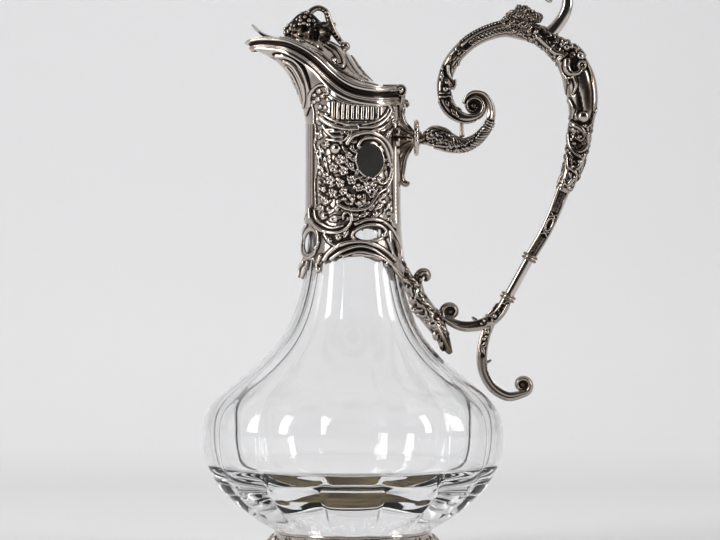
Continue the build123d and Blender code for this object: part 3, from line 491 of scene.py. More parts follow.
SILVER_TONES = (               # from clean metal to black, for tarnish and painted shade alike
    (0.0, (0.70, 0.64, 0.585)), (0.22, (0.52, 0.455, 0.40)), (0.42, (0.24, 0.185, 0.145)),
    (0.66, (0.022, 0.017, 0.015)),
)


def silver_material(name, tarnish=1.0, base_patina=0.0, shade=1.0):
    """Silver whose hollows have gone brown and black, and which takes painted shade too, both told by a
    vertex attribute.
    """
    material, tree, shader = new_material(name)
    attribute = tree.nodes.new("ShaderNodeAttribute")
    attribute.attribute_name = "tarnish_and_shade"
    cloud = calculate(tree, "SUBTRACT", noise_at(tree, 95.0, 4.0), 0.5)
    uneven = calculate(tree, "MULTIPLY", cloud, 0.26)
    dark = calculate(tree, "ADD", calculate(tree, "MULTIPLY", attribute.outputs["Fac"], tarnish), uneven)
    dark = calculate(tree, "ADD", dark, base_patina)
    colour = ramp(tree, dark, [(place, tuple(shade * c for c in tone)) for place, tone in SILVER_TONES])
    tree.links.new(colour, shader.inputs["Base Color"])
    rough = calculate(tree, "ADD", calculate(tree, "MULTIPLY", dark, 0.34), 0.13)
    tree.links.new(rough, shader.inputs["Roughness"])
    shader.inputs["Metallic"].default_value = 1.0
    bump_from(tree, shader, noise_at(tree, 900.0, 2.0), 0.12, 0.00012)
    return material


def glass_material():
    """Clear glass, faintly uneven from blowing."""
    material, tree, shader = new_material("clear_glass")
    shader.inputs["Transmission Weight"].default_value = 1.0
    shader.inputs["IOR"].default_value = 1.5
    tint = ramp(tree, noise_at(tree, 18.0), [(0.0, (0.985, 0.99, 0.99)), (1.0, (1.0, 1.0, 1.0))])
    tree.links.new(tint, shader.inputs["Base Color"])
    shader.inputs["Roughness"].default_value = 0.0
    bump_from(tree, shader, noise_at(tree, 45.0, 1.0), 0.25, 0.00035)
    return material


def plaster_material(name, dark, middle, pale):
    """Crumbly plaster, mottled from dark to pale."""
    material, tree, shader = new_material(name)
    colour = ramp(tree, noise_at(tree, 110.0, 5.0), [(0.34, dark), (0.5, middle), (0.68, pale)])
    tree.links.new(colour, shader.inputs["Base Color"])
    shader.inputs["Roughness"].default_value = 0.85
    bump_from(tree, shader, noise_at(tree, 500.0, 4.0), 0.5, 0.0004)
    return material


SILVER = silver_material("chased_silver")
BRIGHT = silver_material("plain_silver", tarnish=0.8)
CAST = silver_material("cast_silver", base_patina=0.10, shade=0.86)
GLASS = glass_material()
PLASTER = plaster_material("pale_plaster", (0.62, 0.56, 0.47), (0.80, 0.76, 0.69), (0.88, 0.85, 0.80))
AMBER = plaster_material("aged_plaster", (0.07, 0.05, 0.02), (0.24, 0.18, 0.085), (0.46, 0.33, 0.15))


# ================================================================ glass
COLUMNS_PER_LOBE = 20
EDGE_ROUND = 1.0               # height of the rounded edge that the flask stands on
EYE_RADIUS = 0.4               # of the small caps in the middle of the punt and the floor


def glass_radius(z):
    """Radius of a rib crest at height z."""
    z = np.asarray(z, float)
    low = np.clip((z - SEAT_LEVEL) / (BELLY_LEVEL - SEAT_LEVEL), 0, 1)
    below = GLASS_BASE_RADIUS + (BELLY_RADIUS - GLASS_BASE_RADIUS) * (1 - (1 - low) ** BASE_CURVE_POWER)
    high = np.clip((z - BELLY_LEVEL) / SHOULDER_SPREAD, 0, None)
    above = NECK_RADIUS + (BELLY_RADIUS - NECK_RADIUS) / (1 + high ** SHOULDER_POWER)
    return np.where(z <= BELLY_LEVEL, below, above)


def swell_at(z):
    """Share of the way from the neck's radius to the belly's."""
    return (glass_radius(z) - NECK_RADIUS) / (BELLY_RADIUS - NECK_RADIUS)


def groove_at(z):
    """Depth of the groove between two ribs."""
    return NECK_LOBE_DEPTH + (LOBE_DEPTH - NECK_LOBE_DEPTH) * max(float(swell_at(z)), 0.0)


def punt_level(radius):
    """Height of the shallow punt at a radius."""
    return SEAT_LEVEL + PUNT_RISE * (1 - (np.asarray(radius, float) / PUNT_RADIUS) ** 2)


def glass_flask():
    """Ribbed outside and softly inside, with a thick solid base, closed at the lip and below."""
    columns = LOBES * COLUMNS_PER_LOBE
    turn = full_turn(columns)
    rib = 1 - np.abs(np.cos(LOBES / 2 * (turn + math.pi / 2)))
    foot_edge = SEAT_LEVEL + EDGE_ROUND * np.linspace(0, 1, 4) ** 2 / 2
    curves = [(SEAT_LEVEL + EDGE_ROUND, 34, 26), (34.8, BELLY_LEVEL + 60, 90),
              (BELLY_LEVEL + 62, GLASS_TOP, 36)]
    profile = [(r, float(punt_level(r)), 0.0) for r in (EYE_RADIUS, *np.linspace(3, PUNT_RADIUS, 14))]
    for z in np.concatenate([foot_edge] + [np.linspace(*curve) for curve in curves]):
        edge = 0.9 * (1 - min(1.0, (z - SEAT_LEVEL) / EDGE_ROUND)) ** 2
        profile.append((float(glass_radius(z)) - edge, z, groove_at(z)))
    floor = SEAT_LEVEL + GLASS_FLOOR
    bowl = floor + FLOOR_ROUND * (1 - np.cos(np.linspace(math.pi / 2, 0, 30)))
    for z in np.concatenate([np.linspace(GLASS_TOP, floor + FLOOR_ROUND, 96)[:-1], bowl]):
        drop = min(1.0, max(0.0, (floor + FLOOR_ROUND - z) / FLOOR_ROUND))
        side = float(glass_radius(z) - (NECK_WALL + (BELLY_WALL - NECK_WALL) * swell_at(z)))
        radius = FLOOR_FLAT + (side - FLOOR_FLAT) * math.sqrt(1 - drop * drop)
        profile.append((radius, z, INNER_LOBE_SHARE * groove_at(z) * (1 - drop ** 3)))
    profile += [(r, floor, 0.0) for r in (0.8 * FLOOR_FLAT, 0.4 * FLOOR_FLAT, EYE_RADIUS)]
    rings = np.array([
        np.stack([(r - d * rib) * np.cos(turn), (r - d * rib) * np.sin(turn), np.full(columns, z)], axis=1)
        for r, z, d in profile
    ])
    dress(new_mesh("flask", *capped(rings)), GLASS, "jug", "glass", "glass_flask")


# ================================================================ collar
def mirror_columns(front):
    """Front half of a chart, then its mirror image behind, as columns that wrap round."""
    back = front[:, ::-1][:, 1:-1].copy()
    if front.ndim == 3:
        back[..., 1] *= -1
    return np.concatenate([front, back], axis=1)


def outward(points):
    """Unit normals of a wrapped grid whose columns run anticlockwise and rows upward."""
    across = np.roll(points, -1, axis=1) - np.roll(points, 1, axis=1)
    normal = np.cross(across, np.gradient(points, axis=0))
    return normal / (np.linalg.norm(normal, axis=2, keepdims=True) + 1e-9)


def relief_skin(name, front, inner, height, depth, node_list, clean=False, painted_shade=0.0):
    """Closed skin: the raised front half and its mirror outside, a plain wall inside."""
    base = mirror_columns(front)
    raised = base + outward(base) * mirror_columns(height)[..., None]
    wall = mirror_columns(inner)
    points = np.concatenate([raised, wall[::-1]], axis=0)
    rows, columns = points.shape[:2]
    # tarnish of the relief's hollows plus its painted shade; none where clean marks the polished plaque
    shade = np.where(clean, 0.0, np.clip(patina_of(height, depth, False) + painted_shade, 0, 1))
    tarnish_and_shade = np.concatenate([mirror_columns(shade), np.full(wall.shape[:2], 0.35)], axis=0)
    faces = grid_faces(rows, columns, wrap_columns=True, wrap_rows=True)
    dress(new_mesh(name, points.reshape(-1, 3), faces, tarnish_and_shade), SILVER, "jug", "silver", *node_list)


def collar_radius(z):
    """Radius of the collar's and apron's outside: a cylinder that flares over the glass."""
    over = glass_radius(z) + COLLAR_STANDOFF + COLLAR_WALL
    return (COLLAR_RADIUS + over + np.hypot(COLLAR_RADIUS - over, 0.6)) / 2


def round_front(radius, levels, spacing=0.34):
    """Front half of a turned surface: points, and its chart with s along the arc."""
    columns = int(math.pi * float(np.max(radius)) / spacing)
    turn = np.linspace(-math.pi / 2, math.pi / 2, columns)
    r = np.asarray(radius, float)[:, None]
    z = np.repeat(np.asarray(levels, float)[:, None], columns, axis=1)
    return np.stack([r * np.sin(turn), -r * np.cos(turn), z], axis=2), turn


def wrapped(points):
    """Places seen from the front, (x, z), as (arc length, z) on the round collar."""
    reach = ORNAMENT_RADIUS
    return [(reach * math.asin(max(-1.0, min(1.0, x / reach))), z) for x, z in points]


def unchanged(points):
    """Places on a chart that is drawn as seen from the front."""
    return points


def draw(r, at, taper=0.55, strokes=(), bosses=(), flowers=(), leaves=(), rings=(), leaf_height=1.2, spin=29):
    """Draws lists of each kind of ornament in places seen from the side, (x, z), that at puts on the chart.

    A stroke is (points, half width, height), a boss or flower (place, radius, height), a leaf (root, tip,
    width) and a ring (place, radius, half width, height). Flowers are turned by spin times x.
    """
    for points, width, height in strokes:
        r.stroke(at(points), width, height, taper)
    for place, radius, height in bosses:
        r.boss(*at([place])[0], radius, height)
    for place, radius, height in flowers:
        r.flower(*at([place])[0], radius, height, turn=spin * place[0])
    for root, tip, width in leaves:
        root, tip = at([root, tip])
        if root != tip:
            r.leaf(root, tip, width, leaf_height, lobes=2)
    for place, radius, width, height in rings:
        r.stroke(curl(at([place])[0], radius, radius, 0, 345), width, height)


def swags(r, at):
    """Strands below the flutes, shared by spout and collar."""
    draw(r, at, 0.6, strokes=(
        ([(-16.8, 241.0), (-11.5, 237.9), (-4.7, 235.4), (1.5, 234.8), (7.7, 235.4), (13.3, 237.3),
          (17.0, 240.4), (18.5, 243.4)], 0.9, 1.6),
        ([(-17.4, 239.0), (-14.6, 236.4), (-9.4, 234.0), (-3.0, 232.6), (2.4, 232.4)], 1.35, 1.8),
        ([(3.3, 233.6), (8.9, 233.5), (13.9, 235.2), (18.2, 239.0), (20.2, 243.6), (18.8, 246.0)], 1.0, 1.6),
        ([(5.2, 231.4), (10.2, 231.6), (15.1, 233.2), (19.6, 236.6)], 0.8, 1.4),
        ([(-15.9, 234.6), (-13.4, 231.1), (-9.7, 228.6), (-5.4, 228.6)], 1.1, 1.5),
    ))


def lower_scrolls(r, at):
    """Rocaille at the foot of the collar and the scrolls of the pierced skirt."""
    draw(r, at, 0.65, strokes=(
        ([(-22.7, 190.5), (-22.6, 185.8), (-20.8, 182.1), (-17.1, 179.0), (-12.2, 177.5), (-6.6, 177.8),
          (-2.2, 180.9), (-0.7, 185.2), (-2.2, 188.3), (-4.7, 187.4), (-5.0, 184.8)], 1.15, 1.8),
        ([(-20.2, 189.5), (-19.0, 184.8), (-15.3, 181.5), (-10.3, 179.9), (-5.3, 181.2)], 0.9, 1.4),
        ([(1.5, 182.1), (7.1, 184.3), (13.3, 184.3), (18.8, 181.5), (22.6, 176.5), (25.0, 171.0),
          (25.9, 165.0)], 1.05, 1.5),
        ([(16.0, 176.4), (17.3, 178.6), (15.1, 180.9), (10.2, 181.8), (5.2, 180.9), (0.9, 178.4),
          (-0.4, 175.6), (1.4, 173.4), (5.2, 172.9), (8.9, 173.2)], 0.95, 1.4),
        ([(-15.3, 162.9), (-12.2, 167.2), (-7.2, 170.8), (-1.0, 172.4), (5.2, 172.6), (11.2, 171.2),
          (17.0, 168.0), (22.4, 162.8)], 1.3, 1.8),
        ([(-11.6, 163.4), (-7.2, 166.6), (-2.2, 169.0), (4.0, 170.3), (10.2, 168.8), (15.7, 165.2),
          (20.6, 161.2)], 1.0, 1.5),
        ([(-5.0, 164.9), (-1.0, 166.4), (4.0, 167.2), (10.2, 166.0), (16.4, 163.3), (22.5, 158.6),
          (26.3, 154.4)], 0.75, 1.2),
        ([(-17.2, 165.0), (-18.8, 161.2), (-18.9, 158.2)], 1.35, 1.7),
        ([(-24.9, 182.0), (-27.0, 177.2), (-27.8, 171.0), (-26.7, 165.9), (-23.9, 164.1), (-20.8, 166.0),
          (-19.4, 169.0)], 0.95, 1.3),
        ([(-19.4, 169.0), (-18.2, 173.6), (-19.0, 178.0), (-21.4, 182.0)], 0.85, 1.2),
        ([(-27.0, 161.6), (-29.2, 158.0), (-31.6, 154.4)], 1.5, 1.4),
        ([(-24.4, 161.8), (-25.6, 157.6), (-27.4, 153.4)], 0.9, 1.2),
        ([(-14.8, 176.4), (-12.2, 172.4), (-9.4, 170.6)], 1.1, 1.5),
        ([(18.2, 174.1), (20.1, 169.7), (20.9, 164.4)], 0.8, 1.2),
        ([(26.4, 163.0), (29.2, 158.0), (31.4, 154.6)], 1.3, 1.3),
    ), bosses=(
        ((-15.3, 186.4), 2.3, 1.8), ((-12.8, 190.2), 1.5, 1.6), ((-18.8, 157.8), 1.9, 2.0),
        ((-12.3, 173.4), 1.7, 1.8), ((-7.8, 174.6), 1.5, 1.6), ((16.2, 176.2), 1.4, 1.7),
        ((12.0, 187.7), 1.6, 1.4), ((-19.6, 169.4), 1.3, 1.6),
    ), leaves=(
        ((-12.6, 184.2), (-5.6, 186.0), 2.3), ((3.0, 186.0), (8.6, 188.2), 1.7),
        ((-4.6, 174.6), (-2.4, 180.0), 1.5), ((-9.6, 175.4), (-5.0, 176.2), 1.3),
        ((17.6, 162.6), (17.6, 158.6), 1.0), ((-26.0, 183.6), (-23.8, 188.6), 1.6),
        ((19.6, 184.4), (23.6, 179.0), 1.5), ((9.6, 185.6), (15.4, 188.6), 1.4),
    ), leaf_height=1.5)


def collar_ornament(r):
    """Side pilasters, framed plaque, flowers, fruit and leaves."""
    for side in (-1, 1):
        r.stroke([(side * 36.2, 176), (side * 36.2, 250)], 7.2, 0.9, dig=0.5)
    r.stroke(wrapped([(-20.8, 246), (-20.2, 236), (-19.6, 230.6), (-20.5, 225), (-19.0, 219.3), (-18.0, 215),
                      (-19.6, 210), (-20.2, 205), (-19.6, 192.5)]), 0.55, 1.0)
    swags(r, wrapped)
    lower_scrolls(r, wrapped)
    draw(r, wrapped, 0.7, strokes=(
        ([(-2.9, 224.9), (-1.0, 228.0), (3.3, 230.1), (8.9, 230.8), (14.5, 228.9), (18.8, 224.9),
          (20.9, 219.3), (21.2, 212.5), (20.0, 206.3), (17.6, 201.6)], 1.25, 2.0),
        ([(2.6, 223.4), (4.8, 226.9), (9.5, 228.1), (13.9, 226.7), (17.0, 223.0), (19.0, 217.4),
          (19.6, 211.9), (18.5, 206.9), (16.4, 203.8), (14.2, 204.2), (13.2, 206.6)], 0.9, 1.9),
        ([(-14.0, 227.4), (-9.4, 226.4), (-4.7, 226.6), (-1.4, 229.8)], 0.8, 1.3),
        ([(-7.8, 192.6), (-2.9, 190.2), (2.7, 189.5), (7.7, 190.8), (10.8, 194.5), (13.9, 198.8),
          (17.6, 201.2)], 1.0, 1.7),
    ), bosses=(
        ((-9.4, 222.2), 2.9, 2.1), ((-17.9, 236.0), 1.2, 1.4), ((-18.6, 230.4), 1.0, 1.2),
        ((-17.5, 209.4), 1.5, 1.5), ((-17.6, 204.6), 1.2, 1.4), ((-17.4, 201.2), 1.1, 1.3),
        ((-17.6, 197.8), 1.2, 1.4), ((-14.6, 195.7), 1.5, 1.7), ((-2.2, 197.2), 1.4, 1.7),
        ((0.2, 195.3), 1.2, 1.7), ((3.3, 196.6), 1.4, 1.7), ((3.3, 193.5), 1.1, 1.6),
        ((-0.8, 192.8), 1.1, 1.6), ((5.8, 194.2), 1.2, 1.6), ((-4.6, 195.4), 1.3, 1.6),
    ), flowers=[(place, radius, 2.2) for place, radius in (
        ((-6.6, 216.4), 3.0), ((-2.2, 218.6), 2.0), ((-10.2, 212.2), 2.8), ((-4.8, 210.4), 2.8),
        ((-11.8, 205.4), 2.9), ((-6.6, 203.8), 2.6), ((-0.6, 205.4), 2.8), ((-10.4, 198.6), 2.7),
        ((-4.9, 199.4), 2.4), ((8.3, 201.7), 3.6), ((-1.0, 213.0), 2.0), ((3.2, 201.4), 2.4),
        ((-13.4, 224.8), 1.9), ((-15.2, 200.6), 1.8),
    )], leaves=(
        ((-14.9, 218.4), (-12.9, 209.2), 1.6), ((-17.8, 224.6), (-16.6, 216.2), 1.2),
        ((-14.6, 232.4), (-6.0, 231.0), 1.5), ((-4.8, 231.4), (1.0, 228.4), 1.4),
        ((-1.6, 222.6), (2.6, 219.4), 1.1), ((-2.0, 218.2), (1.8, 214.6), 1.1),
        ((-2.4, 212.6), (2.2, 209.8), 1.1), ((1.4, 206.2), (5.6, 207.4), 1.1),
        ((7.0, 205.0), (8.6, 207.8), 1.0), ((12.0, 190.2), (16.4, 193.4), 1.6),
        ((13.9, 195.4), (18.6, 199.5), 1.5), ((10.4, 197.6), (13.6, 202.4), 1.3),
        ((16.8, 189.6), (20.6, 194.6), 1.5), ((-15.8, 193.2), (-11.0, 194.6), 1.4),
        ((-16.8, 213.6), (-14.6, 206.6), 1.2), ((17.0, 228.6), (21.6, 233.6), 1.4),
        ((5.0, 191.4), (1.0, 193.4), 1.0),
    ), leaf_height=1.8, spin=37)
    fill_gaps(r, 0.35, 3.2, 1.3, lambda s, t: -22.0 < s < 24.0, 0.15)
    # Sunk band beside each pilaster, coloured with painted shade for the dark room it mirrors.
    band = np.exp(-((np.abs(r.s) - 26.0) / 1.4) ** 4) * (r.t > 188)
    r.height = r.height * (1 - band) - 0.3 * band
    r.painted_shade = 0.55 * band


def fill_gaps(r, below, spacing, height, keep, fruit):
    """Small leaves and a share of fruit, scattered where keep allows and the ground is still bare."""
    rng = np.random.default_rng(5)
    low_s, high_s, low_t, high_t = r.s.min(), r.s.max(), r.t.min(), r.t.max()
    for t in np.arange(low_t + 1, high_t - 1, spacing):
        for s in np.arange(low_s + 1, high_s - 1, spacing):
            ps, pt = s + rng.uniform(-0.4, 0.4) * spacing, t + rng.uniform(-0.4, 0.4) * spacing
            turn = rng.uniform(0, 2 * math.pi)
            tall = height * rng.uniform(0.6, 1.0)
            if not keep(ps, pt):
                continue
            i, j = np.unravel_index(np.argmin((r.s - ps) ** 2 + (r.t - pt) ** 2), r.s.shape)
            if r.height[i, j] > below:
                continue
            if turn < fruit * 2 * math.pi:
                r.boss(ps, pt, rng.uniform(0.6, 1.1), tall)
            else:
                turn, reach = rng.uniform(0, 2 * math.pi), 1.4 * spacing
                tip = (ps + reach * math.cos(turn), pt + reach * math.sin(turn))
                r.leaf((ps, pt), tip, 0.45 * spacing, tall, lobes=1)


PLAQUE = (9.4, 216.0, 8.5, 9.8)  # middle x and z, half width and half height


def lay_plaque(r):
    """Flat polished plaque, square to its own middle, let into the ornament."""
    x, z, half_x, half_z = PLAQUE
    middle = wrapped([(x, z)])[0][0]
    inside = np.hypot((r.s - middle) / half_x, (r.t - z) / half_z)
    flat = (ORNAMENT_RADIUS + 0.1) / np.cos((r.s - middle) / ORNAMENT_RADIUS) - ORNAMENT_RADIUS
    share = 1 - ease(inside, 0.93, 1.0)
    r.height = r.height * (1 - share) + flat * share
    return inside < 0.95


def neck_sleeve():
    """Chased collar with its plaque."""
    levels = np.linspace(COLLAR_FOOT - 1.2, SPOUT_FOOT + 0.2, 164)
    radius = collar_radius(levels)
    front, turn = round_front(radius, levels)
    chart = Relief(np.repeat((turn * COLLAR_RADIUS)[None, :], len(levels), axis=0), front[..., 2])
    collar_ornament(chart)
    plain = lay_plaque(chart)
    inside = round_front(radius[::20] - COLLAR_WALL, levels[::20])[0]
    inside = inside[:, np.linspace(0, inside.shape[1] - 1, front.shape[1]).astype(int)]
    relief_skin("collar_sleeve", front, inside, chart.height - 0.45, 1.5, ["neck_sleeve"], clean=plain,
                painted_shade=chart.painted_shade)


# ================================================================ spout
def mouth_points():
    """The seam between jug and lid, seen from the side, lip first."""
    run = HINGE_X + SPOUT_REACH
    drop = LIP_LEVEL - SADDLE_LEVEL
    shape = [
        (-0.02, 0.100), (0.03, 0.020), (0.09, -0.008), (0.19, 0.010), (0.265, 0.045), (0.35, 0.155),
        (0.425, 0.295), (0.48, 0.430), (0.56, 0.665), (0.635, 0.845), (0.71, 0.950), (0.81, 1.000),
        (0.90, 0.995), (0.97, 0.968), (1.06, 0.920),
    ]
    return [(-SPOUT_REACH + run * s, LIP_LEVEL - drop * d) for s, d in shape]


MOUTH = smooth_line(mouth_points(), 0.3)


def mouth_level(x):
    """Height of the seam at x."""
    return np.interp(x, MOUTH[:, 0], MOUTH[:, 1])


def mouth_up(x):
    """Unit vector (x, z) square to the seam, pointing up, at x."""
    step = 0.6
    slope = (mouth_level(x + step) - mouth_level(x - step)) / (2 * step)
    size = np.hypot(1, slope)
    return -slope / size, 1 / size


def hull_radius(phi, rear, reach, nose):
    """Radius at angle phi from -X of a round back hulled to a small round nose."""
    gap = np.maximum(reach - nose, 1e-6)
    touch = np.arccos(np.clip((rear - nose) / gap, -1, 1))
    nose_touch = np.arctan2(nose * np.sin(touch), gap + nose * np.cos(touch))
    straight = rear / np.cos(np.clip(touch - phi, -1.5, 1.5))
    tip = gap * np.cos(phi) + np.sqrt(np.clip(nose ** 2 - (gap * np.sin(phi)) ** 2, 0, None))
    return np.where(phi >= touch, rear, np.where(phi >= nose_touch, straight, tip))


SPOUT_SHAPE = [  # share of the height, share of the reach and extra bluntness of the nose
    (-0.10, 0.012, 1.30), (0.05, 0.025, 1.25), (0.16, 0.055, 1.15), (0.35, 0.145, 0.92), (0.50, 0.240, 0.75),
    (0.615, 0.325, 0.60), (0.72, 0.440, 0.42), (0.80, 0.570, 0.26), (0.87, 0.765, 0.14), (0.935, 0.930, 0.05),
    (1.0, 1.0, 0.0), (1.2, 1.03, 0.0),
]


def spout_radius(phi, z, grow=0.0):
    """Radius of the spout's outside at angle phi from -X and height z."""
    marks, reaches, noses = zip(*SPOUT_SHAPE)
    up = np.clip((z - SPOUT_FOOT) / (LIP_LEVEL - SPOUT_FOOT), marks[0], marks[-1])
    reach = COLLAR_RADIUS + (SPOUT_REACH - COLLAR_RADIUS) * smooth_values(up, marks, reaches)
    nose = SPOUT_NOSE * (1 + np.clip(smooth_values(up, marks, noses), 0, None))
    return hull_radius(phi, COLLAR_RADIUS + grow, reach + grow, nose + grow)


def spout_point(phi, z, grow=0.0):
    """Points of the spout's outside at angles phi and heights z."""
    r = spout_radius(phi, z, grow)
    return np.stack([-r * np.cos(phi), -r * np.sin(phi), z], axis=-1)


def seam_heights(phi, below):
    """Height where each column of the spout meets the seam moved down by below."""
    low, high = np.full(phi.shape, SPOUT_FOOT), np.full(phi.shape, LIP_LEVEL + 3.0)
    for _ in range(40):
        middle = (low + high) / 2
        x = -spout_radius(phi, middle) * np.cos(phi)
        under = middle < mouth_level(x) - below / mouth_up(x)[1]
        low, high = np.where(under, middle, low), np.where(under, high, middle)
    return (low + high) / 2


def spout_angles(count):
    """Angles from -X to +X, evenly spaced along the mouth rather than in angle."""
    fine = np.linspace(0, math.pi, 3000)
    ring = spout_point(fine, seam_heights(fine, 0.0))
    run = run_along(ring)
    return np.interp(np.linspace(0, run[-1], count), run, fine)


def spout_ornament(r):
    """Tall scrolled medallion up the throat, flowers and fruit, and flutes under a plain border."""
    for i in range(10):
        x = -10.6 + 2.6 * i
        top = float(np.interp(x, [-12, -4, 5, 16], [247.0, 244.9, 243.8, 243.8]))
        r.stroke([(x, 238.4), (x + 0.2, top)], 1.12, 1.3, dig=0.5)
    border = [(-13.3, 251.4), (-8.3, 248.1), (-2.1, 245.9), (6.0, 245.2), (16.5, 245.2), (21.2, 246.2)]
    r.stroke(border, 0.4, 0.7)
    swags(r, unchanged)
    draw(r, unchanged, 0.7, strokes=(
        ([(-41.5, 272.7), (-36.2, 272.2), (-31.9, 270.3), (-28.1, 266.6), (-25.7, 261.8), (-24.3, 256.4),
          (-23.8, 250.8), (-24.1, 245.8), (-25.4, 241.6)], 1.05, 1.4),
        ([(-37.4, 269.8), (-33.1, 267.6), (-30.0, 263.4), (-27.8, 258.7), (-26.7, 253.9), (-26.4, 249.2),
          (-27.0, 245.6)], 0.9, 0.9),
        ([(-36.2, 266.6), (-33.1, 262.9), (-30.6, 257.6), (-28.8, 252.0), (-28.0, 247.7)], 0.6, 0.6),
        ([(-23.6, 245.4), (-23.1, 250.8), (-21.3, 253.9), (-18.2, 256.1), (-14.8, 256.1), (-13.0, 253.9),
          (-13.6, 251.4), (-15.3, 251.7)], 0.85, 1.4),
        ([(-20.9, 236.0), (-20.9, 242.0), (-22.0, 246.4)], 0.5, 0.9),
    ), bosses=[(place, radius, 1.1) for place, radius in (
        ((-18.2, 253.2), 1.5), ((-16.2, 250.4), 1.3), ((-18.8, 248.9), 1.5), ((-13.4, 248.4), 1.2),
        ((-20.6, 251.2), 1.2), ((-21.0, 247.6), 1.2), ((-17.6, 244.8), 1.4), ((-14.6, 244.2), 1.3),
        ((-14.2, 240.6), 1.2), ((-18.4, 241.8), 1.1),
    )], flowers=[(place, radius, 0.9) for place, radius in (
        ((-38.6, 272.4), 1.7), ((-33.3, 262.4), 1.0), ((-32.0, 259.4), 1.1), ((-30.8, 256.6), 1.0),
        ((-29.6, 253.4), 0.9),
    )], leaves=[
        ((x, z - 3.0), (x + 0.8, z + 2.2), 1.3) for x, z in ((20.6, 241.4), (21.6, 238.0), (22.4, 245.6))
    ], leaf_height=1.0, spin=0)


def spout():
    """Chased spout, from the collar to just below the mouth's moulding."""
    phi = spout_angles(300)
    top = seam_heights(phi, 2.2)
    share = np.linspace(0, 1, 150)[:, None]
    z = SPOUT_FOOT - 0.2 + (top - SPOUT_FOOT + 0.2)[None, :] * share
    front = spout_point(np.repeat(phi[None, :], len(share), axis=0), z)
    chart = Relief(front[..., 0], front[..., 2])
    spout_ornament(chart)
    rows = np.linspace(0, len(share) - 1, 12).astype(int)
    inside = spout_point(np.repeat(phi[None, :], len(rows), axis=0), z[rows], grow=-SPOUT_WALL)
    height = chart.height - SPOUT_INSET
    height[:, 0] = height[:, 1]
    relief_skin("spout_skin", front, inside, height, 1.2, ["spout", "spout_medallion"])


# ================================================================ mouth mouldings
MOUTH_STEPS = 520


def mouth_sweep(name, profile, node, body):
    """Moulding of the profile (out, up) carried round the mouth along the seam."""
    phi = spout_angles(MOUTH_STEPS // 2 + 1)
    ring = mirror_columns(spout_point(phi, seam_heights(phi, 0.0))[None, :, :])[0]
    tangent = np.roll(ring, -1, axis=0) - np.roll(ring, 1, axis=0)
    out = np.stack([tangent[:, 1], -tangent[:, 0], np.zeros(len(ring))], axis=1)
    out /= np.linalg.norm(out, axis=1, keepdims=True)
    ux, uz = mouth_up(ring[:, 0])
    up = np.stack([ux, np.zeros(len(ring)), uz], axis=1)
    line = smooth_profile(profile)
    slim = np.interp(ring[:, 0], [-57, -34, -5], [0.58, 0.82, 1.0])[:, None]
    points = ring[None] + line[:, 0, None, None] * out[None] + line[:, 1, None, None] * (up * slim)[None]
    hollow = np.interp(line[:, 0], [-0.5, 0.0, 0.4], [1.1, 0.6, 0.05])
    tarnish_and_shade = np.repeat(hollow[:, None], len(ring), axis=1)
    faces = grid_faces(len(line), len(ring), wrap_columns=True, wrap_rows=True)
    dress(new_mesh(name, points.reshape(-1, 3), faces, tarnish_and_shade), BRIGHT, body, "silver", node)


def smooth_profile(profile):
    """Profile points with each bead (out, up, radius) turned into an arc; others stay as they are."""
    line = []
    for p in profile:
        if len(p) == 2:
            line.append(p)
            continue
        out, up, radius = p
        for angle in np.linspace(-math.pi / 2, math.pi / 2, 9):
            line.append((out + radius * math.cos(angle), up + radius * math.sin(angle)))
    return np.array(line)


def mouth_mouldings():
    """Reeded wire below the seam and the lid's convex rim above it."""
    body = [
        (-1.0, -6.9), (0.2, -6.9), (0.4, -6.6), (0.4, -4.9), (0.1, -4.5), (0.1, -4.3), (0.35, -4.0, 0.3),
        (-0.1, -3.6), (0.45, -3.1, 0.4), (0.1, -2.6), (-0.45, -2.2), (-0.6, -1.6), (-0.6, -0.9),
        (-0.4, -0.3), (-0.2, 0.0), (-1.6, 0.0),
    ]
    mouth_sweep("mouth_moulding_bands", body, "mouth_moulding", "jug")
    band = [(0.15 + 1.35 * math.cos(a), 1.65 + 1.25 * math.sin(a)) for a in np.linspace(-1.5, 1.35, 15)]
    rim = [(-2.2, 0.3), (0.2, 0.3), *band, (0.25, 2.95), (0.3, 3.3, 0.3), (0.0, 3.6), (-1.4, 3.6),
           (-2.2, 3.2)]
    mouth_sweep("lid_rim_bands", rim, "lid_rim", "lid")


# ================================================================ lid dome
DOME_COLUMNS, DOME_ROWS = 200, 60
DOME_FRONT = -39.5
BACK_ROUND = 12.0              # length at the back where the columns crowd together
LID_WALL = 0.9


def half_width(x, shrink):
    """Half width of the mouth at x, seen from above, drawn in by shrink."""
    rear, nose, reach = COLLAR_RADIUS - shrink, SPOUT_NOSE - 0.5 * shrink, SPOUT_REACH - shrink
    touch = math.acos((rear - nose) / (reach - nose))
    return np.where(
        x > -rear * math.cos(touch), np.sqrt(np.clip(rear ** 2 - x ** 2, 0, None)),
        (rear + x * math.cos(touch)) / math.sin(touch),
    )


CREST = [
    (-41, -1.6), (-34, -0.2), (-26, 0.2), (-18, -0.4), (-10, -3.6), (-4.5, -7.6), (0, -12.0), (5, -18.8),
    (9.5, -23.8), (15, -27.2), (22, -28.2), (25.2, -28.4),
]


def crest_level(x):
    """Height of the dome's middle line at x."""
    return LID_CREST + smooth_values(x, [p[0] for p in CREST], [p[1] for p in CREST])


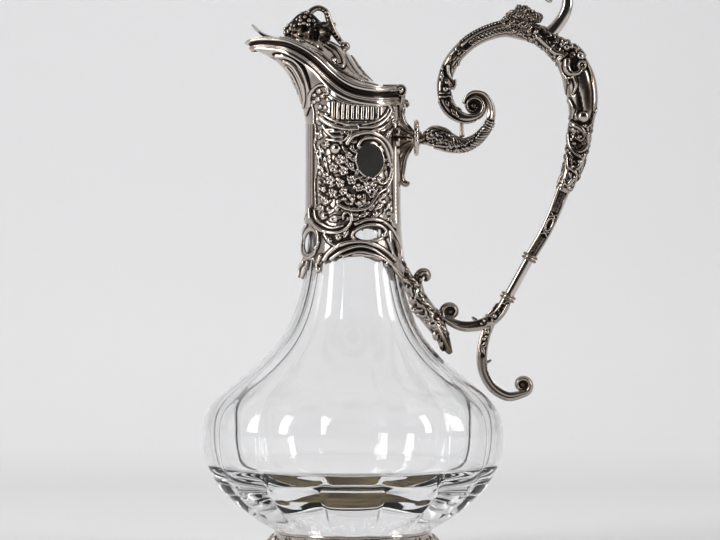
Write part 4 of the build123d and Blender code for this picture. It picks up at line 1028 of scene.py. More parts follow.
def dome_frame():
    """Front half of the dome: its points and the arc length up from the rim."""
    shrink = 0.6
    back = COLLAR_RADIUS - shrink
    turn = np.linspace(0, math.pi / 2, DOME_COLUMNS // 3)
    x = np.linspace(DOME_FRONT, back - BACK_ROUND, DOME_COLUMNS)
    x = np.concatenate([x, back - BACK_ROUND * (1 - np.sin(turn[1:]))])
    w = np.sin(np.linspace(0, math.pi / 2, DOME_ROWS))[::-1]
    low = mouth_level(x) + LID_RIM - 0.2
    rise = np.maximum(crest_level(x) - low, 0.3)
    wide = half_width(x, shrink)
    y = -wide[None, :] * w[:, None]
    z = low[None, :] + rise[None, :] * (1 - w[:, None] ** 2) ** 0.9
    front = np.stack([np.repeat(x[None, :], DOME_ROWS, axis=0), y, z], axis=2)
    step = np.linalg.norm(np.diff(front, axis=0), axis=2)
    arc = np.concatenate([np.zeros((1, len(x))), np.cumsum(step, axis=0)], axis=0)
    return front, arc


def dome_place(front, arc, points):
    """Side view places (x, z) on the dome as chart places (x, arc)."""
    placed = []
    for x, z in points:
        i = int(np.argmin(np.abs(front[0, :, 0] - x)))
        placed.append((x, float(np.interp(z, front[:, i, 2], arc[:, i]))))
    return placed


def lid_ornament(r, at):
    """Scroll behind the grapes, long strands down the side and a row of leaves."""
    draw(r, at, 0.6, strokes=(
        ([(-13.3, 279.3), (-8.9, 276.4), (-5.7, 271.9), (-4.6, 267.7), (-6.0, 266.2), (-8.9, 267.3),
          (-10.8, 270.0)], 0.95, 1.2),
        ([(-15.6, 278.2), (-11.6, 275.2), (-8.5, 271.3), (-7.4, 268.6)], 0.65, 0.8),
        ([(-36.2, 281.4), (-30.0, 279.4), (-23.8, 276.4), (-17.6, 273.4), (-13.9, 270.2), (-8.3, 265.4),
          (-2.1, 261.4), (4.1, 258.8), (13.4, 256.6)], 0.5, 0.7),
        ([(-0.6, 273.0), (3.3, 267.2), (6.4, 263.6), (10.4, 260.4)], 0.75, 0.9),
        ([(-3.4, 273.4), (-0.4, 267.4), (3.4, 262.4), (8.4, 259.2)], 0.5, 0.6),
        ([(-4.4, 271.0), (-2.6, 266.4), (0.6, 262.6)], 0.4, 0.5),
    ), bosses=(
        ((3.6, 266.4), 1.3, 1.1), ((-9.0, 269.6), 1.3, 1.1), ((6.2, 262.8), 1.0, 1.1),
        ((-18.4, 277.2), 1.4, 1.1),
    ))
    for root, tip in (((-30.6, 281.4), (-25.6, 279.8)), ((-25.4, 280.8), (-20.2, 278.0)),
                      ((-20.6, 279.0), (-15.8, 275.0))):
        r.leaf(*at([root, tip]), 1.6, 0.9, lobes=3)


def lid_dome():
    """Chased dome as a thin shell, closed along its edge."""
    front, arc = dome_frame()
    chart = Relief(front[..., 0], arc)
    lid_ornament(chart, lambda points: dome_place(front, arc, points))
    chart.matt(0.05)
    height = (chart.height - 0.2) * ease(arc, 0.0, 0.8)
    full = np.concatenate([front, (front * np.array([1, -1, 1]))[::-1][1:]], axis=0)
    tall = np.concatenate([height, height[::-1][1:]], axis=0)
    normal = np.cross(np.gradient(full, axis=1), np.gradient(full, axis=0))
    normal /= np.linalg.norm(normal, axis=2, keepdims=True) + 1e-9
    outer = full + normal * tall[..., None]
    under = full - normal * LID_WALL
    rows, columns = outer.shape[:2]
    count = rows * columns
    faces = [grid_faces(rows, columns), grid_faces(rows, columns, flip=True) + count]
    index = np.arange(count).reshape(rows, columns)
    edge = np.concatenate([index[0], index[1:, -1], index[-1, -2::-1], index[-2:0:-1, 0]])
    following = np.roll(edge, -1)
    faces.append(np.stack([edge + count, following + count, following, edge], axis=1))
    tarnish_and_shade = np.concatenate([patina_of(tall, 0.9, False).ravel(), np.full(count, 0.3)])
    points = np.concatenate([outer.reshape(-1, 3), under.reshape(-1, 3)])
    dress(new_mesh("lid_dome", points, np.vstack(faces), tarnish_and_shade), SILVER, "lid", "silver", "lid_shell")


# ================================================================ limbs
def limb_front(stations, spacing, columns, power):
    """Front half of a swept limb from (x, z, half thickness, half width), with its chart."""
    line = smooth_line(stations, spacing)
    run = run_along(line[:, :2])
    along = np.gradient(line[:, :2], run, axis=0)
    along /= np.linalg.norm(along, axis=1, keepdims=True)
    thick, wide = line[:, 2], line[:, 3]
    for end, distance in ((0, run), (-1, run[-1] - run)):
        cap = min(thick[end], wide[end]) * (0.9 if thick[end] < 1.65 else 0.15)
        round_end = np.sqrt(np.clip(1 - (1 - np.clip(distance / cap, 0, 1)) ** 2, 0, 1))
        thick, wide = thick * round_end, wide * round_end
    turn = np.linspace(0, math.pi, columns)
    side = np.sign(np.cos(turn)) * np.abs(np.cos(turn)) ** (2 / power)
    face = np.abs(np.sin(turn)) ** (2 / power)
    x = line[:, 0, None] - along[:, 1, None] * thick[:, None] * side
    z = line[:, 1, None] + along[:, 0, None] * thick[:, None] * side
    front = np.stack([x, -wide[:, None] * face[None, :], z], axis=2)
    step = np.linalg.norm(np.diff(front, axis=1), axis=2)
    across = np.concatenate([np.zeros((len(run), 1)), np.cumsum(step, axis=1)], axis=1)
    half = across[:, -1:] / 2
    return front, np.repeat(run[:, None], columns, axis=1), across - half, half


def limb_skin(name, stations, node=None, ornament=None, body="jug", spacing=0.42, columns=44, power=2.3,
              rails=0.0, channel=0.0, depth=0.7, material=CAST, tarnish_and_shade=0.0):
    """Swept limb with edge rails, a sunk channel down each side and drawn ornament, closed at both ends."""
    front, s, t, half = limb_front(stations, spacing, columns, power)
    chart = Relief(s, t)
    v = np.abs(t / np.maximum(half, 1e-6))
    chart.height += rails * ridge(v, 0.62, 0.13) - channel * (1 - ease(v, 0.34, 0.5))
    if ornament:
        seen = front[..., [0, 2]].reshape(-1, 2)

        def at(points):
            near = [int(((seen - p) ** 2).sum(axis=1).argmin()) for p in points]
            return [(float(s.ravel()[i]), float(t.ravel()[i])) for i in near]

        ornament(chart, float(s[-1, 0]), float(np.median(half)), at)
    height = chart.height * ease(s, 0.0, 1.2) * ease(s[-1, 0] - s, 0.0, 1.2)
    base = mirror_columns(front)
    raised = base + outward(base) * mirror_columns(height)[..., None]
    dark = patina_of(height - height.min(), depth, False, passes=7)
    # tarnish of the hollows plus painted shade, from the ornament and from the darkening passed in
    dark = mirror_columns(np.clip(dark + tarnish_and_shade + chart.painted_shade, 0, 1))
    shade = np.concatenate([dark[1:-1].ravel(), [0.3, 0.3]])
    obj = new_mesh(name, *capped(raised[1:-1]), shade)
    dress(obj, material, body, "silver", *([node] if node else []))


def guilloche(r, start, end, pitch, t, radius, height):
    """Chain of open rings with a pearl in each, along a limb."""
    for s in np.arange(start, end, pitch):
        r.stroke(curl((s, t), radius, radius, -110, 220), 0.32, height, dig=0.0)
        r.boss(s - 0.1, t, 0.38, height)


def toothed(r, start, end, pitch, t, size, height):
    """Row of small teeth along a limb."""
    for s in np.arange(start, end, pitch):
        r.boss(s, t, size, height, squash=0.7)


def upper_scroll_ornament(r, length, half, at):
    """Beast's head in scales at the flange, grained neck, a ring, then a plain railed crook."""
    for row in range(6):
        for k in range(5):
            x, z = 40.2 + 2.5 * row, 232.6 - 1.5 * k + 0.45 * (row % 2) - 0.5 * row * (k < 3)
            s, t = at([(x, z)])[0]
            r.leaf((s - 0.6, t + 0.3), (s + 2.3, t - 0.3), 0.85, 1.0, lobes=1)
    r.height += 0.5 * ridge(r.s, 7.5, 5.0) * ridge(r.t, -2.6, 3.0)
    r.stroke(at([(38.6, 226.6), (42.4, 225.4), (46.6, 224.6), (51.0, 224.0)]), 0.8, 0.9)
    for k in range(170):
        along, across = (k * 0.618) % 1.0, (k * 0.377) % 1.0
        r.boss(12.5 + 30.0 * along, half * (-0.95 + 1.9 * across), 0.62 + 0.2 * (k % 3), 0.55)
    for s, size in ((43.0, 0.55), (44.6, 0.75), (46.0, 0.5)):
        r.stroke([(s, -6), (s, 6)], size, 0.9, dig=0.4)
    v = r.t / 3.6
    rails = 0.5 * ridge(v, 0.25, 0.2) + 0.4 * ridge(v, -0.85, 0.15) - 0.5 * ridge(v, -0.35, 0.28)
    r.height += ease(r.s, 46.5, 48.5) * rails


def bow_ornament(r, length, half, at):
    """Toothed outer edge, a smooth rail and a chain of rings, leaves toward the volute."""
    v = r.t / half
    rails = 0.9 * ridge(v, 0.22, 0.075) + 0.5 * ridge(v, -0.36, 0.06)
    channels = 0.55 * ridge(v, -0.09, 0.16) + 0.5 * ridge(v, 0.48, 0.12)
    r.height += ease(r.s, 20.0, 23.0) * (1 - ease(r.s, 56.0, 58.0)) * (rails - channels)
    guilloche(r, 21.0, 53.0, 2.05, -0.09 * half, 1.15, 0.5)
    toothed(r, 9.0, 56.0, 1.55, half * 0.80, 0.8, 0.45)
    toothed(r, 9.8, 56.0, 1.55, half * 0.56, 0.7, 0.25)
    draw(
        r, at,
        strokes=(
            ([(99.5, 283.4), (104.0, 279.0), (109.1, 274.9)], 1.5, 0.9),
            ([(51.2, 267.3), (51.5, 263.7), (53.0, 260.3), (54.6, 258.6)], 0.95, 1.3),
            ([(46.6, 251.2), (53.4, 251.5)], 0.55, 1.1), ([(46.6, 252.8), (53.0, 253.0)], 0.4, 0.9),
            ([(46.8, 248.6), (50.2, 242.6), (55.0, 238.8), (60.3, 237.2), (66.0, 238.2)], 0.9, 0.9),
            ([(52.6, 251.0), (54.6, 246.8), (58.6, 244.0)], 0.55, 0.7),
        ),
        bosses=(((48.2, 266.1), 1.1, 1.0), ((47.8, 261.6), 1.2, 1.1), ((50.4, 258.6), 0.8, 0.8),
                ((49.8, 254.9), 1.5, 1.2), ((51.6, 255.4), 0.9, 1.1), ((98.6, 286.0), 1.2, 1.0),
                ((100.6, 283.0), 1.0, 1.0), ((96.4, 282.0), 1.0, 1.0)),
        leaves=(((48.4, 264.6), (48.0, 259.0), 1.1), ((53.0, 244.6), (57.2, 239.8), 1.6),
                ((50.2, 249.4), (51.6, 245.8), 1.4)),
    )
    fill_gaps(r, 0.3, 2.5, 0.7, lambda s, t: s < 20.5 or (58.5 < s < 67.0 and abs(t) < 0.7 * half), 0.2)
    r.height -= 0.5 * ease(r.s, 77.0, 81.0) * ridge(v, 0, 0.42)


def shoulder_ornament(r, length, half, at):
    """Blossom, crescent and ring above a long smooth limb, then a boss and interlaced tendrils."""
    for place, radius in (((114.8, 279.0), 5.0), ((113.4, 267.9), 2.4), ((119.4, 262.4), 2.6),
                          ((114.6, 259.0), 1.6), ((117.6, 247.0), 1.6)):
        r.sink(*at([place])[0], radius, 0.7)
    draw(
        r, at,
        strokes=(
            ([(105.5, 277.6), (109.1, 274.7), (113.3, 273.5)], 1.4, 1.2),
            ([(110.4, 270.8), (113.2, 264.4), (114.6, 258.4), (114.8, 252.6)], 1.6, 0.8),
            ([(115.0, 270.0), (115.4, 266.0), (117.4, 263.2), (120.2, 263.0), (122.2, 265.0)], 2.1, 2.2),
            ([(125.4, 268.4), (127.4, 264.8), (128.2, 260.0)], 1.1, 1.2),
            ([(116.0, 261.0), (121.4, 261.6)], 0.7, 1.2),
            ([(119.0, 261.3), (119.8, 256.4), (118.6, 252.4)], 1.1, 1.5),
            ([(123.4, 262.6), (124.6, 257.2), (125.6, 251.6), (126.3, 245.6), (126.2, 240.6)], 3.6, 1.0),
            ([(116.6, 249.4), (118.6, 244.6), (118.0, 239.6)], 1.2, 1.0),
            ([(129.0, 241.4), (128.0, 237.0), (125.6, 234.2)], 1.0, 1.3),
            ([(122.6, 279.4), (125.0, 275.4), (124.0, 272.0)], 1.4, 1.3),
            ([(117.6, 236.2), (121.6, 234.6), (124.4, 230.8), (122.6, 227.4), (120.2, 228.8)], 1.5, 1.3),
            ([(126.2, 231.0), (126.0, 225.4), (122.4, 221.8), (118.6, 222.6), (117.4, 225.6)], 1.35, 1.2),
            ([(116.4, 231.0), (116.8, 225.6), (119.6, 220.6), (123.4, 217.4), (122.0, 214.4)], 1.2, 1.3),
            ([(124.2, 219.6), (121.6, 213.4), (118.2, 211.4), (116.4, 213.8)], 1.3, 1.1),
            ([(115.8, 218.0), (116.4, 213.4), (120.2, 209.4), (119.4, 206.4)], 1.15, 1.2),
            ([(118.2, 206.2), (115.4, 203.6), (113.8, 205.8)], 1.1, 1.1),
        ),
        bosses=(((122.4, 272.9), 2.0, 1.7), ((123.8, 240.0), 3.1, 2.1), ((119.0, 233.0), 1.5, 1.3),
                ((121.8, 229.4), 1.2, 1.5), ((118.9, 225.6), 1.1, 1.4), ((122.0, 216.2), 1.2, 1.4),
                ((117.6, 213.2), 1.0, 1.3), ((119.6, 207.8), 1.0, 1.3), ((122.9, 267.9), 0.8, 1.3)),
        flowers=(((114.8, 279.2), 3.6, 2.2),),
        leaves=(((109.7, 271.3), (114.2, 273.0), 1.8), ((118.6, 279.6), (124.2, 276.6), 1.8),
                ((116.4, 257.4), (113.6, 263.6), 1.4), ((124.2, 228.0), (126.6, 221.6), 1.6),
                ((118.0, 219.4), (115.6, 210.6), 1.4), ((121.6, 212.0), (121.8, 205.6), 1.3)),
        rings=(((122.9, 267.9), 1.8, 0.65, 1.6),),
    )
    fill_gaps(r, 0.25, 2.6, 0.8, lambda s, t: abs(t) < 0.86 * half and (s > 42.0 or s < 12.0), 0.25)
    # Painted shade: dark patches on the smooth limbs where they mirror the dark room.
    for place, radius, amount, squash, turn in (
        ((126.8, 251.0), 3.4, 0.4, 2.7, 4), ((127.6, 264.0), 2.4, 0.25, 2.2, 10),
        ((121.0, 247.0), 1.5, 0.4, 4.0, 0), ((121.4, 225.0), 4.6, 0.22, 2.6, 6),
        ((117.4, 271.0), 3.2, 0.3, 1.6, 0), ((115.0, 249.0), 1.8, 0.3, 4.0, 4),
    ):
        r.paint_shade(*at([place])[0], radius, amount, squash, turn)


def shaft_ornament(r, length, half, at):
    """Two matted panels with rounded ends and a lozenge between them, inside smooth rails."""
    v = np.abs(r.t) / half
    r.height += 0.35 * ridge(v, 0.62, 0.12)
    wave = 2 * math.pi / 0.95
    hatch = np.cos(wave * (r.s + r.t)) * np.cos(wave * (r.s - r.t))
    for start, end in ((0.06 * length, 0.38 * length), (0.66 * length, 0.96 * length)):
        inside = ease(r.s, start, start + 0.8) * (1 - ease(r.s, end - 0.8, end))
        r.height += inside * (1 - ease(v, 0.36, 0.46)) * (-0.6 + 0.22 * hatch)
    ring = np.hypot((r.s - 0.52 * length) / (0.10 * length), r.t / (0.36 * half))
    r.height += 0.55 * ridge(ring, 0.85, 0.18) - 0.5 * ridge(ring, 0, 0.5)
    r.height -= 0.5 * ridge(ring, 1.5, 0.25) * (v < 0.45)
    for middle in (0.40 * length, 0.64 * length):
        for rise in (0.3 * half, -0.3 * half):
            r.stroke([(middle - 1.2, -rise), (middle + 1.2, rise)], 0.35, 0.5, dig=0)


def lower_branch_ornament(r, length, half, at):
    """Dark drop and a bead under the knop, then rails with a pearled channel out to the volute."""
    v = np.abs(r.t) / half
    r.height += ease(r.s, 17.0, 20.0) * (0.5 * ridge(v, 0.6, 0.14) - 0.55 * ridge(v, 0, 0.34))
    for place, radius, depth in (((79.6, 136.6), 1.5, 0.9), ((80.6, 138.4), 1.3, 0.9),
                                 ((73.4, 131.4), 1.6, 0.8)):
        r.sink(*at([place])[0], radius, depth)
    draw(
        r, at,
        strokes=(([(77.6, 139.4), (75.6, 136.2), (72.0, 133.4)], 0.9, 1.0),
                 ([(83.2, 138.8), (80.6, 134.2), (76.4, 130.2)], 0.8, 0.9)),
        bosses=(((76.3, 132.9), 1.3, 1.6), ((70.4, 130.2), 0.9, 1.0), ((69.0, 128.8), 0.8, 0.9)),
    )
    toothed(r, 18.0, 34.0, 1.25, 0.0, 0.42, 0.35)


def tail_ornament(r, length, half, at):
    """Leaves at the fork, then a plain round channel between rails."""
    v = np.abs(r.t) / half
    r.height += 0.3 * ridge(v, 0.66, 0.13) - 0.55 * ease(r.s, 17.5, 20.0) * ridge(v, 0, 0.36)
    draw(
        r, at,
        bosses=(((72.4, 124.2), 1.2, 1.3), ((70.6, 120.6), 1.1, 1.2), ((71.8, 121.8), 0.8, 1.0),
                ((70.2, 113.6), 1.0, 1.1)),
        leaves=(((73.4, 127.4), (70.8, 122.6), 1.3), ((71.8, 119.4), (69.6, 114.8), 1.4),
                ((69.2, 117.6), (71.0, 111.6), 1.1)),
    )


def spiral(centre, start_radius, end_radius, start_angle, sweep, thick, thin, wide, narrow):
    """Stations of a volute, from (half thickness, half width) to smaller ones."""
    points = curl(centre, start_radius, end_radius, start_angle, sweep)
    last = len(points) - 1
    return [
        (*p, thick + (thin - thick) * i / last, wide + (narrow - wide) * i / last)
        for i, p in enumerate(points)
    ]


def ring_eye(name, centre, radius, width):
    """Flat disc with a raised ball on each side that closes the middle of a volute."""
    share = 1 - np.arange(20) / 20
    bulge = width - 0.9 + 1.5 * np.sqrt(np.clip(1 - (share / 0.36) ** 2, 0, None))
    share, bulge = np.concatenate([share[::-1], share]), np.concatenate([-bulge[::-1], bulge])
    turn = full_turn(48)
    x = centre[0] + radius * share[:, None] * np.cos(turn)
    z = centre[1] + radius * share[:, None] * np.sin(turn)
    points, faces = capped(np.stack([x, np.broadcast_to(bulge[:, None], x.shape), z], axis=2), flip=True)
    points[-2:, 1] = -width - 0.6, width + 0.6
    obj = new_mesh(name, points, faces)
    cavity_patina(obj.data, 1.5, 0.5)
    dress(obj, CAST, "jug", "silver")


# ================================================================ handle
BOW_END = (107.5, 279.5)
SHAFT_TOP = (113.0, 199.5)
UPPER_KNOP = (95.4, 164.4)
LOWER_KNOP = (83.6, 143.0)


def handle():
    """Scroll at the socket, bow, shoulder, shaft, lower branch with its tail, and the crook for the thumb."""
    upper = [
        (34.6, 228.6, 2.4, 3.0), (38.0, 228.2, 2.9, 3.4), (40.6, 229.0, 4.6, 4.4), (43.6, 229.6, 6.3, 5.2),
        (47.5, 228.7, 6.5, 5.4), (51.6, 226.6, 5.7, 5.2), (56.2, 225.3, 4.7, 4.8), (60.8, 225.2, 3.9, 4.2),
        (65.5, 227.3, 3.3, 3.6), (70.4, 231.7, 2.7, 3.4), (74.0, 237.6, 2.3, 3.6), (74.5, 245.2, 2.2, 3.8),
        (70.9, 251.9, 1.8, 4.0), (65.0, 253.2, 1.4, 4.0), (60.8, 250.3, 0.9, 3.8), (59.7, 247.1, 0.6, 3.4),
    ]
    limb_skin("beast_scroll", upper, "handle_upper_scroll", upper_scroll_ornament)
    limb_skin("scroll_strut", [(58.9, 229.0, 1.6, 2.0), (58.7, 234.0, 1.0, 1.6), (58.6, 240.0, 1.4, 1.8)])
    bow = [
        (110.8, 276.8, 5.4, 4.8), (*BOW_END, 5.6, 5.0), (100.5, 284.5, 5.2, 4.6), (91.0, 286.8, 4.9, 4.6),
        (82.0, 288.0, 4.6, 4.6), (73.5, 286.0, 4.3, 4.4), (63.0, 280.5, 4.1, 4.2), (53.5, 270.5, 4.1, 4.2),
        (49.2, 258.0, 4.0, 4.2), (50.8, 248.0, 3.9, 4.2), (55.2, 242.0, 3.6, 4.2), (60.5, 239.6, 2.9, 4.4),
    ]
    bow += spiral((65.0, 246.1), 6.0, 1.4, -75, 470, 2.0, 0.7, 4.4, 3.8)
    limb_skin("bow_scroll", bow, "handle_bow", bow_ornament)
    limb_skin("bow_spur", [(53.0, 255.0, 1.6, 1.8), (55.0, 258.5, 1.2, 1.4), (55.2, 261.0, 0.6, 0.9)])
    ring_eye("bow_eye", (65.0, 246.1), 4.2, 3.0)
    shoulder = [
        (*BOW_END, 5.6, 5.0), (115.5, 273.0, 7.4, 6.6), (121.6, 262.0, 8.6, 7.6), (124.0, 250.0, 8.2, 7.4),
        (123.0, 235.0, 6.6, 6.4), (120.2, 219.0, 6.0, 5.6), (116.8, 208.0, 4.8, 4.8), (*SHAFT_TOP, 3.6, 3.6),
    ]
    limb_skin("shoulder_casting", shoulder, "handle_shoulder", shoulder_ornament, columns=64, depth=1.1)
    eye_curl = spiral((122.6, 268.4), 3.2, 1.2, -160, 330, 1.5, 0.8, 5.4, 4.6)
    limb_skin("shoulder_curl", eye_curl, spacing=0.5, columns=30)
    limb_skin("shoulder_spur", [(117.0, 214.0, 2.0, 2.4), (112.6, 208.0, 1.4, 2.0), (110.2, 204.0, 0.6, 1.2)])
    shaft = [(114.4, 203.0, 3.5, 3.5), (*SHAFT_TOP, 3.6, 3.6), (108.2, 187.6, 3.2, 3.4),
             (102.8, 176.4, 3.0, 3.2), (*UPPER_KNOP, 2.8, 3.0)]
    limb_skin("railed_shaft", shaft, "handle_shaft", shaft_ornament, spacing=0.26, columns=50, power=2.8,
              depth=0.5)
    stem = [(*UPPER_KNOP, 2.7, 2.7), (*LOWER_KNOP, 2.7, 2.7)]
    limb_skin("plain_stem", stem, "handle_stem", material=BRIGHT)
    for name, centre, toward in (("upper_beads", UPPER_KNOP, SHAFT_TOP),
                                 ("lower_beads", LOWER_KNOP, UPPER_KNOP)):
        knop(name, centre, toward, "knop_" + name.split("_")[0])
    branch = [
        (*LOWER_KNOP, 2.9, 2.9), (79.5, 135.6, 3.4, 3.2), (74.0, 130.4, 3.5, 3.4), (66.5, 127.6, 2.8, 3.4),
        (59.0, 127.4, 2.6, 3.6), (53.5, 129.4, 2.1, 3.8),
    ]
    branch += spiral((52.6, 135.0), 4.6, 1.2, 215, -420, 1.6, 0.75, 3.8, 3.4)
    limb_skin("lower_branch", branch, "handle_lower_scroll", lower_branch_ornament)
    tail = [
        (74.6, 130.2, 2.6, 2.8), (71.4, 122.0, 2.8, 2.8), (69.6, 112.0, 2.9, 2.8), (70.6, 102.5, 2.7, 2.7),
        (75.8, 93.8, 2.6, 2.7), (83.8, 89.4, 2.4, 2.8), (90.8, 90.6, 2.0, 3.0),
    ]
    tail += spiral((91.4, 95.6), 4.6, 1.2, -55, 400, 1.7, 0.8, 3.2, 3.0)
    limb_skin("tail_scroll", tail, None, tail_ornament)
    limb_skin("branch_spur", [(67.5, 129.5, 1.2, 1.6), (65.2, 131.6, 0.9, 1.2), (63.6, 132.4, 0.4, 0.8)])
    limb_skin("tail_thorn", [(71.0, 107.5, 1.2, 1.4), (73.6, 108.4, 0.8, 1.0), (75.0, 109.6, 0.4, 0.6)])
    ring_eye("branch_eye", (52.6, 135.0), 3.3, 2.8)
    ring_eye("tail_eye", (91.4, 95.6), 3.3, 2.5)
    crook = [
        (102.5, 281.5, 4.2, 4.2), (109.8, 289.2, 3.5, 3.4), (114.4, 296.4, 3.2, 3.2),
        (115.8, 303.5, 3.0, 3.0), (113.8, 308.8, 2.6, 2.6), (109.2, 310.8, 2.2, 2.2),
        (105.2, 308.2, 1.9, 1.9), (105.0, 304.2, 1.6, 1.7), (108.0, 302.8, 1.5, 1.6),
    ]
    limb_skin("thumb_crook", crook, "thumb_scroll", material=BRIGHT)


def knop(name, centre, toward, node):
    """Pair of turned beads on the shaft, square to it."""
    direction = np.array([toward[0] - centre[0], 0.0, toward[1] - centre[1]])
    direction /= np.linalg.norm(direction)
    outline = [(3.2, -1.9)]
    for middle in (-0.95, 0.95):
        outline += [(3.5 + 0.8 * math.cos(a), middle + 0.75 * math.sin(a)) for a in np.linspace(-1.5, 1.5, 9)]
    outline += [(3.2, 1.9)]
    turn = full_turn(56)
    around = np.outer(np.cos(turn), [direction[2], 0, -direction[0]]) + np.outer(np.sin(turn), [0, 1, 0])
    rings = [np.array([centre[0], 0, centre[1]]) + around * radius + direction * up for radius, up in outline]
    obj = new_mesh(name, *capped(np.array(rings), flip=True))
    cavity_patina(obj.data, 2.2, 0.15)
    dress(obj, SILVER, "jug", "silver", node)


# ================================================================ cast lumps
def cast_lump(name, balls, body, node=None, size=0.35, texture=0.0, grain=1.4, floor=0.22):
    """Rounded casting: overlapping balls (x, y, z, rx, ry, rz) remeshed into one skin, then roughened."""
    obj = add_object(name, mesh_of_balls(name + "_parts", balls, 4))
    remesh = obj.modifiers.new("skin", "REMESH")
    remesh.mode = "VOXEL"
    remesh.voxel_size = size * MM
    smoothing = obj.modifiers.new("soften", "SMOOTH")
    smoothing.factor, smoothing.iterations = 0.5, 3
    solid = bpy.data.meshes.new_from_object(obj.evaluated_get(bpy.context.evaluated_depsgraph_get()))
    obj.modifiers.clear()
    obj.data = solid
    co = vertex_rows(solid, "co") / MM
    place = co[:, 0], np.abs(co[:, 1]), co[:, 2]
    rough = value_noise(*place, grain) + 0.6 * value_noise(*place, grain * 0.55, 5)
    co = co + vertex_rows(solid, "normal") * (texture * rough)[:, None]
    solid.vertices.foreach_set("co", (co * MM).ravel())
    solid.update()
    solid.shade_smooth()
    cavity_patina(solid, 3.0, floor, passes=3)
    dress(obj, CAST, body, "silver", *([node] if node else []))


def pairs(balls):
    """The balls with every one off the middle plane mirrored."""
    out = []
    for ball in balls:
        out.append(ball)
        if ball[1]:
            out.append((ball[0], -ball[1], *ball[2:]))
    return out


def lion_mask():
    """Grotesque lion's head: shaggy wedge rising from the bow, blunt muzzle over a dark open jaw."""
    balls = [
        (89.0, 0, 290.4, 8.0, 6.0, 6.4), (91.4, 0, 295.6, 5.0, 5.0, 4.9), (84.0, 0, 289.6, 6.0, 4.8, 4.2),
        (86.8, 0, 293.6, 4.8, 4.6, 4.2), (96.2, 0, 293.9, 5.4, 4.2, 3.5), (99.6, 0, 294.0, 2.7, 3.4, 2.8),
        (96.0, 0, 287.0, 4.4, 3.8, 2.5), (93.4, 0, 297.4, 3.2, 4.0, 2.6), (99.6, 0, 286.4, 2.6, 3.2, 1.8),
    ]
    for x, z, out, size in ((86.0, 296.2, 2.6, 1.9), (89.6, 299.2, 1.2, 1.8), (93.2, 299.0, 2.0, 1.5),
                            (96.6, 296.8, 1.8, 1.5), (100.8, 294.2, 1.2, 1.7), (82.4, 292.4, 2.6, 2.0),
                            (86.0, 290.4, 4.6, 2.4), (89.6, 294.4, 4.2, 2.5), (91.4, 289.6, 5.2, 2.6),
                            (95.2, 294.6, 3.0, 1.9), (87.4, 286.2, 4.6, 2.2), (94.8, 287.4, 3.2, 2.0)):
        balls.append((x, out, z, 1.1 * size, size, size))
    cast_lump("lion_head", pairs(balls), "jug", "lion_mask", size=0.24, texture=0.5, grain=0.95, floor=0.42)


# ================================================================ lid finial
def berry_cluster():
    """Bunch of grapes on its core; every berry is its own little ball, with painted shade where the berries
    turn in toward the core.
    """
    stations = [(-37.4, 286.0, 1.4, 2.0), (-34.0, 287.4, 2.8, 4.2), (-29.8, 289.8, 4.4, 6.0),
                (-25.6, 291.6, 5.4, 6.6), (-21.6, 289.0, 5.0, 6.2), (-16.6, 285.4, 4.0, 5.2),
                (-12.4, 282.6, 3.0, 4.0)]
    line = smooth_line(stations, 0.5)
    rng = np.random.default_rng(11)
    placed, balls = [], []
    for _ in range(1500):
        x, z, thick, wide = line[rng.integers(2, len(line) - 6)]
        a = rng.uniform(0, 2 * math.pi)
        place = np.array([x, 0.98 * wide * math.sin(a), z + 0.98 * thick * math.cos(a)])
        if place[2] < crest_level(place[0]) - 2.0 or x > -17.5 and math.cos(a) > 0.2:
            continue
        if placed and np.linalg.norm(np.array(placed) - place, axis=1).min() < 2.0:
            continue
        placed.append(place)
        balls.append((*place, *[rng.uniform(1.05, 1.4)] * 3))
    mesh = mesh_of_balls("berries", balls, 3)
    mesh.shade_smooth()
    co = vertex_rows(mesh, "co") / MM
    nearest = line[np.abs(co[:, None, 0] - line[None, :, 0]).argmin(axis=1)]
    y, z = co[:, 1], co[:, 2] - nearest[:, 1]
    away = np.hypot(y, z)
    out = away - np.hypot(nearest[:, 3] * y, nearest[:, 2] * z) / (away + 1e-6)
    # Painted shade: each berry darker on the side turned in toward the core.
    store_tarnish_and_shade(mesh, np.clip(1.0 - ease(out, -0.3, 1.0), 0, 1))
    obj = add_object("berries", mesh)
    dress(obj, CAST, "lid", "silver")
    # The core is coloured almost black: painted shade in the gaps between the berries.
    limb_skin("bunch_core", stations, "grape_bunch", body="lid", tarnish_and_shade=0.9)


def vine_leaf(name, side, centre, size, axis_x, axis_y, *nodes):
    """Cupped and crumpled five-lobed leaf with veins, on the plane of two axes."""
    ax, ay = np.array(axis_x, float), np.array(axis_y, float)
    ax /= np.linalg.norm(ax)
    ay = ay - ax * ax.dot(ay)
    ay /= np.linalg.norm(ay)
    normal = np.cross(ax, ay)
    if normal[1] * side < 0:
        normal = -normal
    angle = full_turn(120)
    lobe = 0.70 + 0.30 * np.abs(np.cos(2.5 * angle)) ** 0.8 + 0.05 * np.cos(20 * angle)
    share = np.linspace(0.02, 1, 22)[:, None]
    radius = size * share * lobe
    u, v = radius * np.cos(angle), radius * np.sin(angle)
    rib = np.abs(((np.degrees(angle) + 36) % 72) - 36)[None, :] * share * 0.5
    height = 0.9 * (1 - share ** 2) + 0.35 * ridge(rib, 0, 2.2)
    height = height + 0.12 * np.cos(20 * angle) * share - 0.5 * share ** 4
    top = np.array(centre) + u[..., None] * ax + v[..., None] * ay + height[..., None] * normal
    crumple = value_noise(top[..., 0], top[..., 1], top[..., 2], 1.9, 4)
    top = top + normal * (1.1 * crumple)[..., None]
    low = top - normal * 0.7
    points, faces = capped(np.concatenate([top, low[::-1]]), flip=np.cross(ax, ay).dot(normal) < 0)
    shade = np.clip(0.62 - height / 2.6 - 0.55 * crumple, 0, 1)
    tarnish_and_shade = np.concatenate([shade.ravel(), np.full(shade.size, 0.5), [0.1, 0.5]])
    dress(new_mesh(name, points, faces, tarnish_and_shade), CAST, "lid", "silver", *nodes)


